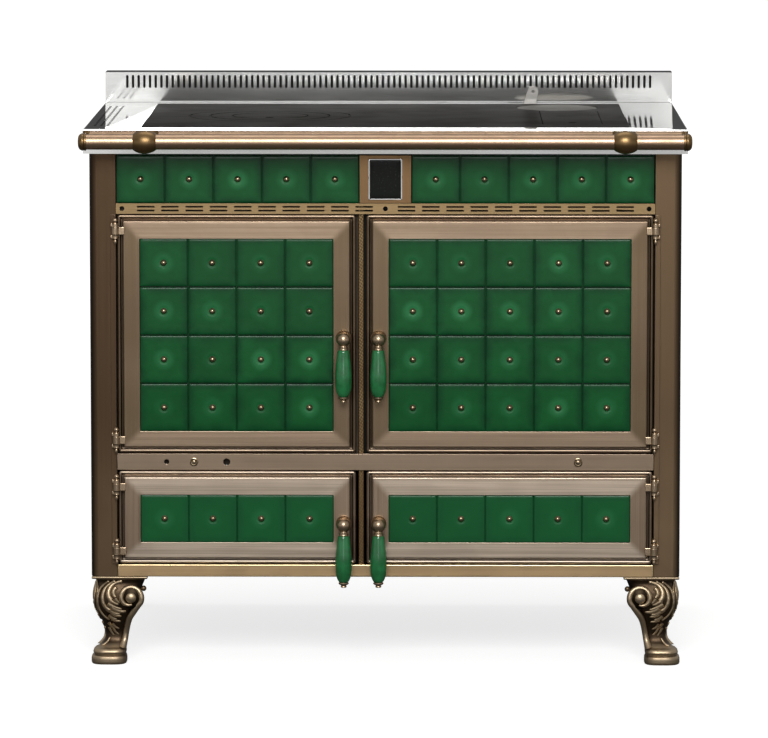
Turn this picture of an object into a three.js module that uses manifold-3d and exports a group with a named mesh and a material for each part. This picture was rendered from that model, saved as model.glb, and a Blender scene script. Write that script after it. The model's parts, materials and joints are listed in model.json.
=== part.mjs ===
// A free-standing wood-burning kitchen range with a tiled front: two upper doors (firebox and
// oven), two lower doors (ash drawer and wood store), a stainless worktop round a cast hob plate
// with lift-out rings, a towel rail, and two cast cabriole legs in front.
// Millimetres, +Z up, the front towards -Y, the origin on the floor under the middle of the range.

import * as THREE from 'three';
import { mergeVertices } from 'three/addons/utils/BufferGeometryUtils.js';
import Module from 'manifold-3d';

const wasm = await Module();
wasm.setup();

// ---------------------------------------------------------------- driving dimensions

const fit = 0.3;                  // gap between two pieces that touch

// Tiles, which set the width and the height of the front
const tileSize = 75;
const tileJoint = 1.5;
const tileThickness = 6;
const tileTaper = 1.1;            // how far the sides of a tile draw in towards its face
const tileBacker = 1.7;           // sheet that carries a panel's tiles
const tileMargin = 0.5;           // play round a panel in its frame
const friezeTiles = 5;            // on each side of the plaque
const fireDoorTiles = 4;          // across the firebox and ash doors
const ovenDoorTiles = 5;          // across the oven and store doors
const upperDoorRows = 4;
const lowerDoorRows = 1;
const studDiameter = 9.6;
const studHeight = 4.2;

// Carcass
const sheet = 3;
const columnWidth = 42;
const columnRadius = 12;
const columnSetback = 6;          // column faces behind the faces of the door frames
const jambDepth = 16;             // inner return of a column
const bodyDepth = 616;
const friezeMargin = 1;
const plaqueWidth = 82;
const stripThickness = 5;
const bottomRailHeight = 19.5;
const controlStripHeight = 26.1;
const rodHoleInset = 78.5;        // damper rod hole from the left end of the control strip
const rodHoleDiameter = 8;
const leftButtonInset = 121.5;
const leftButtonDiameter = 10;
const leftButtonProud = 1.5;
const airHoleInset = 173.5;
const airHoleDiameter = 11;
const rightButtonInset = 119.5;   // from the right end
const rightButtonDiameter = 11;
const rightButtonProud = 2;
const ventStripHeight = 16.6;
const ventSlotPairs = 10;
const ventSlotLength = 28;
const ventSlotHeight = 2.8;
const ventSlotSpacing = 6;        // between the two rows
const ventSlotStart = 19.3;       // first slot of a half from the middle
const ventSlotStop = 23.5;        // and the last one from the outer hole
const ventHoleDiameter = 8;
const ventHoleInset = 9.9;        // outer holes from the ends of the strip
const backSlotRows = 8;
const backSlotPitch = 14;
const backSlotLength = 120;
const backSlotHeight = 5;
const backSlotX = 210;            // middle of each group of slots from the middle of the back
const backSlotDrop = 165;         // top slot below the worktop
const shelfDrop = 18;             // top of the middle shelf below the top of the control strip
const postWidth = 8.7;
const postDepth = 30;

// Worktop
const apronHeight = 39;
const apronGap = 3.6;             // frieze tiles to the lower edge of the apron
const topSheet = 2.5;
const topSideOverhang = 7.75;
const topFrontOverhang = 18;      // in front of the faces of the door frames
const topBackOverhang = 10;
const splashDepth = 50;
const splashHeight = 50;
const splashSlotMargin = 34;      // at least, at each end of the row of slots
const splashSlotPitch = 9.51;
const splashSlotWidth = 4.2;
const splashSlotHeight = 21.5;
const splashSlotBase = 24;        // lower end of the slots above the worktop
const marginSlotRows = 3;
const marginSlots = 20;
const marginSlotPitch = 22.5;
const marginSlotLength = 15;
const marginSlotWidth = 4;
const marginRowPitch = 10.1;
const marginRowInset = 15;        // outermost row from the left edge of the worktop
const marginSlotsFromFront = 62;

// Hob plate and what lifts out of it
const hobWidth = 768;
const hobFromFront = 31;
const hobFromSplash = 33;
const hobThickness = 10;
const hobPlay = 1;                // round the plate and the pieces that lie in it
const ledgeWidth = 9;             // ledge under the edge of each lift-out piece
const ledgeSheet = 3;
const ringDiameter = 264;
const ringInset = 195;            // centre of the rings from the left edge of the hob plate
const ringForward = 9;            // and in front of its middle
const ringWidth = 34;
const lidDiameter = 124;
const fluePlateDiameter = 134;
const flueInset = 105;            // centre of the flue cover from the right edge of the hob plate
const flueFromSplash = 120;
const cleaningWidth = 94;
const cleaningInset = 88;         // its middle from the right edge of the hob plate
const cleaningFromFront = 104;
const cleaningToFlue = 16;        // to the edge of the flue cover
const keyHoleDiameter = 12;       // blind hole for the lifting key
const keyHoleDepth = 4;

// Doors
const doorSideGap = 1.5;
const doorGap = 1.2;              // above and below a door
const postGap = 3.5;              // door edge to the centre post
const lip = 9.5;                  // how far the door leaf stands out round its frame
const lipThickness = 4;
const lipRadius = 5;
const frameThickness = 8;
const railTop = 28.3;             // height of the frame above the tiles
const railBottom = 25.5;          // and below them
const latchSpace = 7;             // between a door leaf and the face of the firebox or oven
const linerSheet = 2;
const linerDepth = 14;
const linerInset = 38;
const linerPlay = 4;              // round the liner in its opening

// Hinges
const hingeOut = 0.5;             // pin axis outside the inner edge of the column
const hingeForward = 4;           // pin axis in front of the door frames
const knuckleDiameter = 12;
const knuckleHeight = 12.6;
const barrelDiameter = 10.6;
const pinDiameter = 6;
const hingeInsetTop = 25.2;
const hingeInsetBottom = 21;
const hingeStripWidth = 8.2;
const hingeStripThickness = 2.8;
const finialLength = 8.8;

// Door handles
const handleInset = 19.6;         // spindle from the free edge of the door leaf
const upperHandleOffset = -5.5;   // spindle from the middle of the door's height
const lowerHandleOffset = -8.6;
const ballDiameter = 22;
const ballStandoff = 24;          // centre of the ball in front of the door frame
const rosetteDiameter = 25;
const rosetteThickness = 3;
const spindleDiameter = 10;
const handleRodDiameter = 6;
const gripStart = 16.6;           // top of the grip below the centre of the ball
const gripLength = 74;
const gripDiameter = 26;
const gripTopDiameter = 17;
const capLength = 8.4;
const camReach = 16;
const camWidth = 8;
const camThickness = 4;

// Towel rail
const railDiameter = 24;
const railStandoff = 45;          // axis in front of the apron
const railDrop = 17;              // axis below the worktop
const railOverhang = 4.7;         // end caps beyond the sides of the worktop
const railBallX = 375;
const railBallDiameter = 37;
const railBallWidth = 36;
const railStemDiameter = 14;
const railFlangeDiameter = 30;
const railFlangeThickness = 3;
const railCapDiameter = 27.4;
const railCapLength = 13;

// Plaque
const friezeProud = 2;            // frieze tiles in front of the column faces
const plaqueProud = 3;            // and the plaque's block
const plaquePlateWidth = 53;
const plaquePlateHeight = 65;
const plaquePlateThickness = 2.2;
const plaqueRim = 2;

// Legs
const legHeight = 142;
const legPadWidth = 86;
const legPadThickness = 6;
const rearLegWidth = 38;
const rearFootWidth = 46;
const rearFootHeight = 12;
const legCornerInset = 3;         // pad in from the corner of the body
const legRoundness = 0.75;        // 1 makes a round section, 0 a square one
const voluteRadius = 19.6;
const voluteThickness = 26;
const voluteInset = 64.5;         // centre of a scroll from the corner of the body
const voluteHeight = 106;         // and above the floor
const voluteSetback = 3;          // rim behind the face of the column
const voluteEye = 8.2;            // radius of the ball in the middle
const rearLegInset = 4;           // from the outer corner of the body

// Firebox, oven and what stands in the lower bays
const fireWall = 12;
const fireDepth = 400;
const flangeThickness = 4;
const gasPassHeight = 90;
const gasPassDepth = 300;
const grateWidth = 210;
const grateDepth = 270;
const grateThickness = 12;
const grateSlots = 9;
const grateSlotWidth = 9;
const grateRest = 10;             // how far the grate overlaps the firebox floor
const ovenWall = 4;
const ovenDepth = 520;
const gasSpace = 105;             // between the top of the oven and the worktop
const rackWire = 6;
const rackBars = 11;
const rackPlay = 2;               // beside and behind the rack
const rackSetback = 34;
const rackSupport = 10;
const rackHeight = 150;           // above the oven floor
const ashSheet = 2;
const ashDrawerHeight = 118;
const ashDrawerDepth = 388;
const ashDrawerPlay = 10;         // beside the drawer in its bay
const ashPullWidth = 90;
const ashPullDepth = 12;
const ashPullHeight = 71;

// Flue box and damper
const flueBoxPlay = 12;           // round the flue opening
const flueBoxWall = 4;
const shaftDiameter = 8;
const shaftDrop = 25;             // shaft axis below the worktop
const leverOffset = 49.5;         // left of the middle of the flue cover
const leverLean = 15;             // degrees to the right at rest
const leverTravel = 45;           // degrees
const leverBaseWidth = 23;
const leverTopWidth = 18;
const leverThickness = 3;
const leverPlay = 1.8;            // round the lever in its slot
const leverHoleRadius = 2.6;
const leverRise = 30;             // above the worktop
const leverFromSplash = 12;
const flapLength = 78;
const flapWidth = 100;
const flapThickness = 4;
const flapAngle = -55;            // degrees from level at rest

// ---------------------------------------------------------------- levels and places

const pitch = tileSize + tileJoint;
const columnInner = plaqueWidth / 2 + friezeTiles * pitch + friezeMargin;
const bodyHalf = columnInner + columnWidth;
const topHalf = bodyHalf + topSideOverhang;

// Heights, from the floor up
const bottomRailTop = legHeight + bottomRailHeight;
const lowerDoorHeight = doorHeight(lowerDoorRows);
const upperDoorHeight = doorHeight(upperDoorRows);
const lowerDoorBase = bottomRailTop + doorGap;
const controlStripBase = lowerDoorBase + lowerDoorHeight + doorGap;
const controlStripTop = controlStripBase + controlStripHeight;
const upperDoorBase = controlStripTop + doorGap;
const ventStripBase = upperDoorBase + upperDoorHeight + doorGap;
const ventStripTop = ventStripBase + ventStripHeight;
const friezeBase = ventStripTop + fit;
const friezeHeight = tileSize + 2 * tileMargin;
const apronBase = friezeBase + friezeHeight + apronGap;
const worktop = apronBase + apronHeight;
const carcassTop = worktop - topSheet - fit;
const floorTop = legHeight + sheet;
const shelfTop = controlStripTop - shelfDrop;
const ledgeBase = worktop - hobThickness - fit - ledgeSheet;
const boxTop = ledgeBase - fit;             // top of the firebox and the flue box
const ovenTop = worktop - gasSpace;

// Depths, from the faces of the door frames (y = 0) back
const leafBack = frameThickness + lipThickness;
const flangeFront = leafBack + latchSpace;
const stripBack = columnSetback + sheet;
const stripFront = stripBack - stripThickness;
const friezeFace = columnSetback - friezeProud;
const bodyBack = columnSetback + bodyDepth;
const topFront = -topFrontOverhang;
const topBack = bodyBack + topBackOverhang;
const splashFront = topBack - splashDepth;
const railY = topFront - railStandoff;
const railZ = worktop - railDrop;
const railEnd = topHalf + railOverhang;
const hobFront = topFront + hobFromFront;
const hobDepth = splashFront - hobFromSplash - hobFront;
const ringX = ringInset - hobWidth / 2;
const ringY = hobFront + hobDepth / 2 - ringForward;
const flueX = hobWidth / 2 - flueInset;
const flueY = splashFront - flueFromSplash;
const cleaningX = hobWidth / 2 - cleaningInset;
const cleaningFront = topFront + cleaningFromFront;
const cleaningDepth = flueY - fluePlateDiameter / 2 - cleaningToFlue - cleaningFront;
const leverX = flueX - leverOffset;
const leverY = splashFront - leverFromSplash;
const middle = (railY - railBallDiameter / 2 + topBack) / 2;

// Doors: the stiles take up what the tiles leave of the front
const doorsWidth = 2 * columnInner - 2 * doorSideGap - postWidth - 2 * postGap;
const stile = (doorsWidth - 4 * lip - panelSpan(fireDoorTiles) - panelSpan(ovenDoorTiles)) / 4;
const postLeft = -columnInner + doorSideGap + doorWidth(fireDoorTiles) + postGap;
const postRight = postLeft + postWidth;
const hingeX = columnInner + hingeOut;
const leafStart = hingeOut + doorSideGap;   // edge of a door leaf from its hinge axis

function panelSpan(tiles) {
  return tiles * pitch - tileJoint + 2 * tileMargin;
}

function doorWidth(tiles) {
  return 2 * (lip + stile) + panelSpan(tiles);
}

function doorHeight(rows) {
  return 2 * lip + railBottom + railTop + panelSpan(rows);
}

// ---------------------------------------------------------------- materials

function finish(color, roughness, metalness) {
  return new THREE.MeshStandardMaterial({ color, roughness, metalness });
}

const bronze = finish(0x9a8468, 0.42, 0.85);
const darkBronze = finish(0x5c4936, 0.5, 0.8);
const gilt = finish(0xae8c58, 0.38, 0.9);
const castBronze = finish(0x54422f, 0.5, 0.8);
const stainless = finish(0xc9c9c6, 0.18, 1);
const castIron = finish(0x3a3733, 0.6, 0.6);
const groundIron = finish(0x8a8782, 0.4, 0.8);
const galvanised = finish(0x7e7f7d, 0.55, 0.7);
const greenGlaze = finish(0x1f5a32, 0.15, 0);
const blackEnamel = finish(0x191b18, 0.3, 0);
const firebrick = finish(0x5a4f45, 0.9, 0);

// ---------------------------------------------------------------- solids

// A closed geometry as a solid: positions merged, slivers dropped, faces turned outwards.
function solid(geometry) {
  const bare = geometry.index ? geometry.toNonIndexed() : geometry.clone();
  bare.deleteAttribute('normal');
  bare.deleteAttribute('uv');
  const merged = mergeVertices(bare, 1e-4);
  const corners = merged.attributes.position.array;
  const faces = [];
  let volume = 0;
  const a = new THREE.Vector3();
  const b = new THREE.Vector3();
  const c = new THREE.Vector3();
  for (let i = 0; i < merged.index.count; i += 3) {
    const [p, q, r] = merged.index.array.slice(i, i + 3);
    if (p === q || q === r || r === p) continue;
    a.fromArray(corners, 3 * p);
    b.fromArray(corners, 3 * q);
    c.fromArray(corners, 3 * r);
    volume += a.dot(b.cross(c));
    faces.push([p, q, r]);
  }
  if (volume < 0) faces.forEach((face) => face.reverse());
  return new wasm.Manifold(new wasm.Mesh({
    numProp: 3,
    vertProperties: Float32Array.from(corners),
    triVerts: Uint32Array.from(faces.flat()),
  }));
}

function join(solids) {
  return solids.reduce((sum, next) => sum.add(next));
}

function cut(body, tools) {
  return tools.reduce((rest, tool) => rest.subtract(tool), body);
}

function box(x0, x1, y0, y1, z0, z1) {
  const geometry = new THREE.BoxGeometry(Math.abs(x1 - x0), y1 - y0, z1 - z0);
  geometry.translate((x0 + x1) / 2, (y0 + y1) / 2, (z0 + z1) / 2);
  return solid(geometry);
}

// An outline in plan, drawn in x and y, pulled up from z0 to z1.
function planExtrusion(shape, z0, z1, curveSegments = 4) {
  const options = { depth: z1 - z0, bevelEnabled: false, curveSegments };
  const geometry = new THREE.ExtrudeGeometry(shape, options);
  geometry.translate(0, 0, z0);
  return solid(geometry);
}

// An outline seen from the front, drawn in x and z, pushed back from y0 to y1.
function frontExtrusion(shape, y0, y1, curveSegments = 4) {
  const options = { depth: y1 - y0, bevelEnabled: false, curveSegments };
  const geometry = new THREE.ExtrudeGeometry(shape, options);
  geometry.rotateX(Math.PI / 2);
  geometry.translate(0, y1, 0);
  return solid(geometry);
}

// A profile of [radius, height] pairs turned about the axis through (x, y, z) along 'x', 'y' or 'z'.
function turned(profile, axis, x, y, z, sides) {
  const points = profile.map(([radius, height]) => new THREE.Vector2(radius, height));
  const geometry = new THREE.LatheGeometry(points, sides);
  if (axis === 'x') geometry.rotateZ(-Math.PI / 2);
  if (axis === 'z') geometry.rotateX(Math.PI / 2);
  geometry.translate(x, y, z);
  return solid(geometry);
}

function disc(radius, from, to) {
  return [[0, from], [radius, from], [radius, to], [0, to]];
}

// Points on a circle in a turned profile, from one angle to another, in degrees from the axis.
function arcProfile(centre, radius, from, to, steps) {
  return Array.from({ length: steps + 1 }, (_, i) => {
    const angle = THREE.MathUtils.degToRad(from + ((to - from) * i) / steps);
    return [radius * Math.sin(angle), centre - radius * Math.cos(angle)];
  });
}

function roundedRectangle(x0, x1, z0, z1, radius) {
  const shape = new THREE.Shape();
  shape.moveTo(x0 + radius, z0);
  shape.lineTo(x1 - radius, z0);
  shape.absarc(x1 - radius, z0 + radius, radius, -Math.PI / 2, 0);
  shape.lineTo(x1, z1 - radius);
  shape.absarc(x1 - radius, z1 - radius, radius, 0, Math.PI / 2);
  shape.lineTo(x0 + radius, z1);
  shape.absarc(x0 + radius, z1 - radius, radius, Math.PI / 2, Math.PI);
  shape.lineTo(x0, z0 + radius);
  shape.absarc(x0 + radius, z0 + radius, radius, Math.PI, 1.5 * Math.PI);
  return shape;
}

// Rings of points, one above the other, skinned and closed at both ends.
function loft(rings) {
  const sides = rings[0].length;
  const positions = [];
  const quad = (p, q, r, s) => positions.push(...p, ...q, ...r, ...p, ...r, ...s);
  for (let level = 1; level < rings.length; level += 1) {
    for (let i = 0; i < sides; i += 1) {
      const next = (i + 1) % sides;
      quad(rings[level - 1][i], rings[level - 1][next], rings[level][next], rings[level][i]);
    }
  }
  const bottom = rings[0];
  const top = rings[rings.length - 1];
  for (let i = 1; i < sides - 1; i += 1) {
    positions.push(...bottom[0], ...bottom[i + 1], ...bottom[i]);
    positions.push(...top[0], ...top[i], ...top[i + 1]);
  }
  const geometry = new THREE.BufferGeometry();
  geometry.setAttribute('position', new THREE.Float32BufferAttribute(positions, 3));
  return solid(geometry);
}

// ---------------------------------------------------------------- the range

const range = new THREE.Group();
range.name = 'wood_cookstove';
range.position.y = -middle;

function addPiece(name, body, material, mirrored = false) {
  const { vertProperties, triVerts } = body.getMesh();
  const positions = Float32Array.from(vertProperties);
  const index = Array.from(triVerts);
  if (mirrored) {
    for (let i = 0; i < positions.length; i += 3) positions[i] = -positions[i];
    index.reverse();
  }
  const geometry = new THREE.BufferGeometry();
  geometry.setAttribute('position', new THREE.BufferAttribute(positions, 3));
  geometry.setIndex(index);
  const mesh = new THREE.Mesh(geometry, material);
  mesh.name = name;
  range.add(mesh);
  return mesh;
}

// ---------------------------------------------------------------- carcass

// One bent sheet: the side, the rounded outer corner, the column face and the jamb behind it.
function sidePanel() {
  const outer = columnRadius;
  const inner = Math.max(columnRadius - sheet, 0.5);
  const x0 = -bodyHalf;
  const y0 = columnSetback;
  const plan = new THREE.Shape();
  plan.moveTo(x0, bodyBack);
  plan.lineTo(x0, y0 + outer);
  plan.absarc(x0 + outer, y0 + outer, outer, Math.PI, 1.5 * Math.PI);
  plan.lineTo(-columnInner, y0);
  plan.lineTo(-columnInner, y0 + sheet + jambDepth);
  plan.lineTo(-columnInner - sheet, y0 + sheet + jambDepth);
  plan.lineTo(-columnInner - sheet, y0 + sheet);
  plan.lineTo(x0 + sheet + inner, y0 + sheet);
  plan.absarc(x0 + sheet + inner, y0 + sheet + inner, inner, 1.5 * Math.PI, Math.PI, true);
  plan.lineTo(x0 + sheet, bodyBack);
  plan.closePath();
  return planExtrusion(plan, legHeight, carcassTop);
}

// A level sheet between the side panels, with a tongue between the jambs, cut round the post.
function levelSheet(z0, z1) {
  const side = bodyHalf - sheet - fit;
  const back = bodyBack - sheet - fit;
  const jambBack = columnSetback + sheet + jambDepth + fit;
  const wide = box(-side, side, jambBack, back, z0, z1);
  const tongue = box(-columnInner + fit, columnInner - fit, stripBack + fit, jambBack + 1, z0, z1);
  return wide.add(tongue);
}

function shelf() {
  const plate = levelSheet(shelfTop - sheet, shelfTop);
  const postWell = box(
    postLeft - fit, postRight + fit, 0, stripBack + 2 * fit + postDepth, shelfTop - sheet - 1, shelfTop + 1,
  );
  return cut(plate, [postWell, ashChute(shelfTop - sheet - 1, shelfTop + 1)]);
}

function backPanel() {
  const side = bodyHalf - sheet - fit;
  const front = bodyBack - sheet;
  const panel = box(-side, side, front, bodyBack, legHeight, carcassTop);
  const slots = [];
  const half = backSlotLength / 2;
  for (let row = 0; row < backSlotRows; row += 1) {
    const z = worktop - backSlotDrop - row * backSlotPitch;
    for (const x of [-backSlotX, backSlotX]) {
      slots.push(box(x - half, x + half, front - 1, bodyBack + 1, z, z + backSlotHeight));
    }
  }
  return cut(panel, slots);
}

// The post between the doors, with the web that parts the two lower bays behind it.
function centrePost() {
  const centre = (postLeft + postRight) / 2;
  const front = stripBack + fit;
  const post = box(postLeft, postRight, front, front + postDepth, floorTop + fit, ventStripTop - fit);
  const web = box(
    centre - sheet / 2, centre + sheet / 2, front + postDepth - 1, bodyBack - sheet - fit,
    floorTop + fit, shelfTop - sheet - fit,
  );
  return post.add(web);
}

function frontStrip(z0, z1) {
  return box(-columnInner + fit, columnInner - fit, stripFront, stripBack, z0, z1);
}

function controlStrip() {
  const z = (controlStripBase + controlStripTop) / 2;
  const hole = (x, diameter) => turned(
    disc(diameter / 2, stripFront - 1, stripBack + 1), 'y', x, 0, z, 10,
  );
  const button = (x, diameter, proud) => turned(
    disc(diameter / 2, stripFront - proud, stripFront + 1), 'y', x, 0, z, 10,
  );
  const strip = cut(frontStrip(controlStripBase, controlStripTop), [
    hole(rodHoleInset - columnInner, rodHoleDiameter),
    hole(airHoleInset - columnInner, airHoleDiameter),
  ]);
  return join([
    strip,
    button(leftButtonInset - columnInner, leftButtonDiameter, leftButtonProud),
    button(columnInner - rightButtonInset, rightButtonDiameter, rightButtonProud),
  ]);
}

function ventStrip() {
  const z = (ventStripBase + ventStripTop) / 2;
  const tools = [];
  const end = columnInner - ventHoleInset - ventSlotStop - ventSlotLength;
  const slotPitch = (end - ventSlotStart) / (ventSlotPairs - 1);
  for (const side of [-1, 1]) {
    for (let i = 0; i < ventSlotPairs; i += 1) {
      const near = side * (ventSlotStart + i * slotPitch);
      for (const row of [-0.5, 0.5]) {
        const z0 = z + row * ventSlotSpacing - ventSlotHeight / 2;
        const far = near + side * ventSlotLength;
        tools.push(box(near, far, stripFront - 1, stripBack + 1, z0, z0 + ventSlotHeight));
      }
    }
  }
  for (const x of [-columnInner + ventHoleInset, 0, columnInner - ventHoleInset]) {
    const profile = disc(ventHoleDiameter / 2, stripFront - 1, stripBack + 1);
    tools.push(turned(profile, 'y', x, 0, z, 10));
  }
  return cut(frontStrip(ventStripBase, ventStripTop), tools);
}

// ---------------------------------------------------------------- tiles

// A panel of tiles on one backing sheet; each tile draws in towards its face and has a stud.
function tilePanel(x0, z0, columns, rows, face, backerTop = null) {
  const tileBack = face + tileThickness;
  const width = columns * pitch - tileJoint;
  const height = rows * pitch - tileJoint;
  const top = backerTop ?? z0 + height;
  const pieces = [box(x0, x0 + width, tileBack - 0.2, tileBack + tileBacker, z0, top)];
  for (let row = 0; row < rows; row += 1) {
    for (let column = 0; column < columns; column += 1) {
      const x = x0 + tileSize / 2 + column * pitch;
      const z = z0 + tileSize / 2 + row * pitch;
      pieces.push(tile(x, z, face, tileBack), stud(x, z, face));
    }
  }
  return join(pieces);
}

function tile(x, z, face, tileBack) {
  const geometry = new THREE.BoxGeometry(tileSize, tileBack - face, tileSize);
  const corners = geometry.attributes.position;
  const shrink = (tileSize - 2 * tileTaper) / tileSize;
  for (let i = 0; i < corners.count; i += 1) {
    if (corners.getY(i) < 0) {
      corners.setX(i, corners.getX(i) * shrink);
      corners.setZ(i, corners.getZ(i) * shrink);
    }
  }
  geometry.translate(x, (face + tileBack) / 2, z);
  return solid(geometry);
}

function stud(x, z, face) {
  const radius = studDiameter / 2;
  const profile = [
    [0, -studHeight], [0.55 * radius, -0.86 * studHeight], [radius, -0.3 * studHeight], [radius, 1], [0, 1],
  ];
  return turned(profile, 'y', x, face, z, 6);
}

function friezePanel() {
  const x0 = -plaqueWidth / 2 - friezeTiles * pitch + tileJoint / 2;
  return tilePanel(x0, friezeBase + tileMargin, friezeTiles, 1, friezeFace, boxTop);
}

function plaqueBlock() {
  const front = columnSetback - plaqueProud;
  const half = plaqueWidth / 2 - fit;
  const top = friezeBase + friezeHeight;
  return box(-half, half, front, friezeFace + tileThickness + tileBacker, friezeBase, top);
}

// A bare enamel plate with a raised rim
function plaquePlate() {
  const back = columnSetback - plaqueProud - fit;
  const front = back - plaquePlateThickness;
  const half = plaquePlateWidth / 2;
  const z0 = friezeBase + (friezeHeight - plaquePlateHeight) / 2;
  const z1 = z0 + plaquePlateHeight;
  const plate = box(-half, half, front, back, z0, z1);
  const recess = box(
    -half + plaqueRim, half - plaqueRim, front - 1, front + plaquePlateThickness / 2,
    z0 + plaqueRim, z1 - plaqueRim,
  );
  return plate.subtract(recess);
}

// ---------------------------------------------------------------- worktop

// A stainless tray, open below, with a sunk ledge that carries the hob plate.
function steelTop() {
  const tray = box(-topHalf, topHalf, topFront, topBack, apronBase, worktop);
  const hollow = box(
    -topHalf + topSheet, topHalf - topSheet, topFront + topSheet, topBack - topSheet,
    apronBase - 1, worktop - topSheet,
  );
  const hobHalf = hobWidth / 2 + hobPlay;
  const y0 = hobFront - hobPlay;
  const y1 = hobFront + hobDepth + hobPlay;
  const well = box(
    -hobHalf - ledgeSheet, hobHalf + ledgeSheet, y0 - ledgeSheet, y1 + ledgeSheet,
    ledgeBase, worktop - topSheet / 2,
  );
  const seat = box(-hobHalf, hobHalf, y0, y1, ledgeBase + ledgeSheet, worktop + 1);
  const drop = box(
    -hobHalf + ledgeWidth, hobHalf - ledgeWidth, y0 + ledgeWidth, y1 - ledgeWidth,
    ledgeBase - 1, worktop + 1,
  );
  const body = tray.subtract(hollow).add(well);
  return cut(body, [seat, drop, leverSlot(), ...marginSlotTools()]);
}

function marginSlotTools() {
  const tools = [];
  for (let row = 0; row < marginSlotRows; row += 1) {
    const x = -topHalf + marginRowInset + row * marginRowPitch;
    for (let i = 0; i < marginSlots; i += 1) {
      const y = topFront + marginSlotsFromFront + i * marginSlotPitch;
      const half = marginSlotWidth / 2;
      tools.push(box(x - half, x + half, y, y + marginSlotLength, worktop - topSheet - 1, worktop + 1));
    }
  }
  return tools;
}

// The slot that the damper lever sweeps through
function leverSlot() {
  const reach = (degrees) => {
    const angle = THREE.MathUtils.degToRad(degrees);
    const middleOfTab = shaftDrop * Math.tan(angle);
    return middleOfTab + Math.sign(angle) * (leverBaseWidth / 2 / Math.cos(angle) + leverPlay);
  };
  const halfY = leverThickness / 2 + leverPlay;
  return box(
    leverX + reach(leverLean - leverTravel), leverX + reach(leverLean), leverY - halfY, leverY + halfY,
    worktop - topSheet - 1, worktop + 1,
  );
}

// A channel open at the back and below, with a row of slots in its front
function splashBack() {
  const z0 = worktop + fit;
  const z1 = z0 + splashHeight;
  const shell = box(-topHalf, topHalf, splashFront, topBack, z0, z1);
  const hollow = box(
    -topHalf + topSheet, topHalf - topSheet, splashFront + topSheet, topBack + 1,
    z0 + topSheet, z1 - topSheet,
  );
  const slots = [];
  const room = 2 * (topHalf - splashSlotMargin) - splashSlotWidth;
  const last = Math.floor(room / splashSlotPitch);
  for (let i = 0; i <= last; i += 1) {
    const x = (i - last / 2) * splashSlotPitch;
    const half = splashSlotWidth / 2;
    const low = worktop + splashSlotBase;
    slots.push(box(
      x - half, x + half, splashFront - 1, splashFront + topSheet + 1, low, low + splashSlotHeight,
    ));
  }
  return cut(shell.subtract(hollow), slots);
}

// ---------------------------------------------------------------- hob

const hobBase = worktop - hobThickness;
const stepZ = worktop - hobThickness / 2;   // height of every ledge inside the plate
const ringSides = 24;

// A stepped hole for a lift-out piece: full size above the ledge, smaller below it
function roundSeat(x, y, diameter) {
  const wide = diameter / 2;
  const profile = [
    [0, hobBase - 1], [wide - ledgeWidth, hobBase - 1], [wide - ledgeWidth, stepZ],
    [wide, stepZ], [wide, worktop + 1], [0, worktop + 1],
  ];
  return turned(profile, 'z', x, y, 0, ringSides);
}

// What lies in such a hole
function roundPiece(x, y, diameter) {
  const wide = diameter / 2 - hobPlay;
  const low = wide - ledgeWidth;
  const profile = [
    [0, hobBase], [low, hobBase], [low, stepZ + fit], [wide, stepZ + fit], [wide, worktop], [0, worktop],
  ];
  return turned(profile, 'z', x, y, 0, ringSides);
}

function keyHole(x, y) {
  return turned(disc(keyHoleDiameter / 2, worktop - keyHoleDepth, worktop + 1), 'z', x, y, 0, 8);
}

function cleaningBlock(grow, z0, z1) {
  const half = cleaningWidth / 2 + grow;
  const y0 = cleaningFront - grow;
  return box(cleaningX - half, cleaningX + half, y0, y0 + cleaningDepth + 2 * grow, z0, z1);
}

function hobPlate() {
  const plate = box(-hobWidth / 2, hobWidth / 2, hobFront, hobFront + hobDepth, hobBase, worktop);
  return cut(plate, [
    roundSeat(ringX, ringY, ringDiameter),
    roundSeat(flueX, flueY, fluePlateDiameter),
    cleaningBlock(hobPlay, stepZ, worktop + 1),
    cleaningBlock(-ledgeWidth, hobBase - 1, worktop + 1),
  ]);
}

function cleaningPlate() {
  const upper = cleaningBlock(0, stepZ + fit, worktop);
  const lower = cleaningBlock(-ledgeWidth - hobPlay, hobBase, stepZ + 1);
  const y = cleaningFront + cleaningDepth / 8;
  return upper.add(lower).subtract(keyHole(cleaningX, y));
}

const innerRingDiameter = ringDiameter - 2 * ringWidth;

function outerRing() {
  return roundPiece(ringX, ringY, ringDiameter).subtract(roundSeat(ringX, ringY, innerRingDiameter));
}

function innerRing() {
  return roundPiece(ringX, ringY, innerRingDiameter).subtract(roundSeat(ringX, ringY, lidDiameter));
}

function hobLid() {
  const lid = roundPiece(ringX, ringY, lidDiameter);
  return lid.subtract(keyHole(ringX, ringY - lidDiameter / 2 + 2 * keyHoleDiameter));
}

function flueCover() {
  return roundPiece(flueX, flueY, fluePlateDiameter);
}

// ---------------------------------------------------------------- towel rail

function railBar() {
  const half = railEnd - railCapLength / 2;
  return turned(disc(railDiameter / 2, -half, half), 'x', 0, railY, railZ, 16);
}

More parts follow.
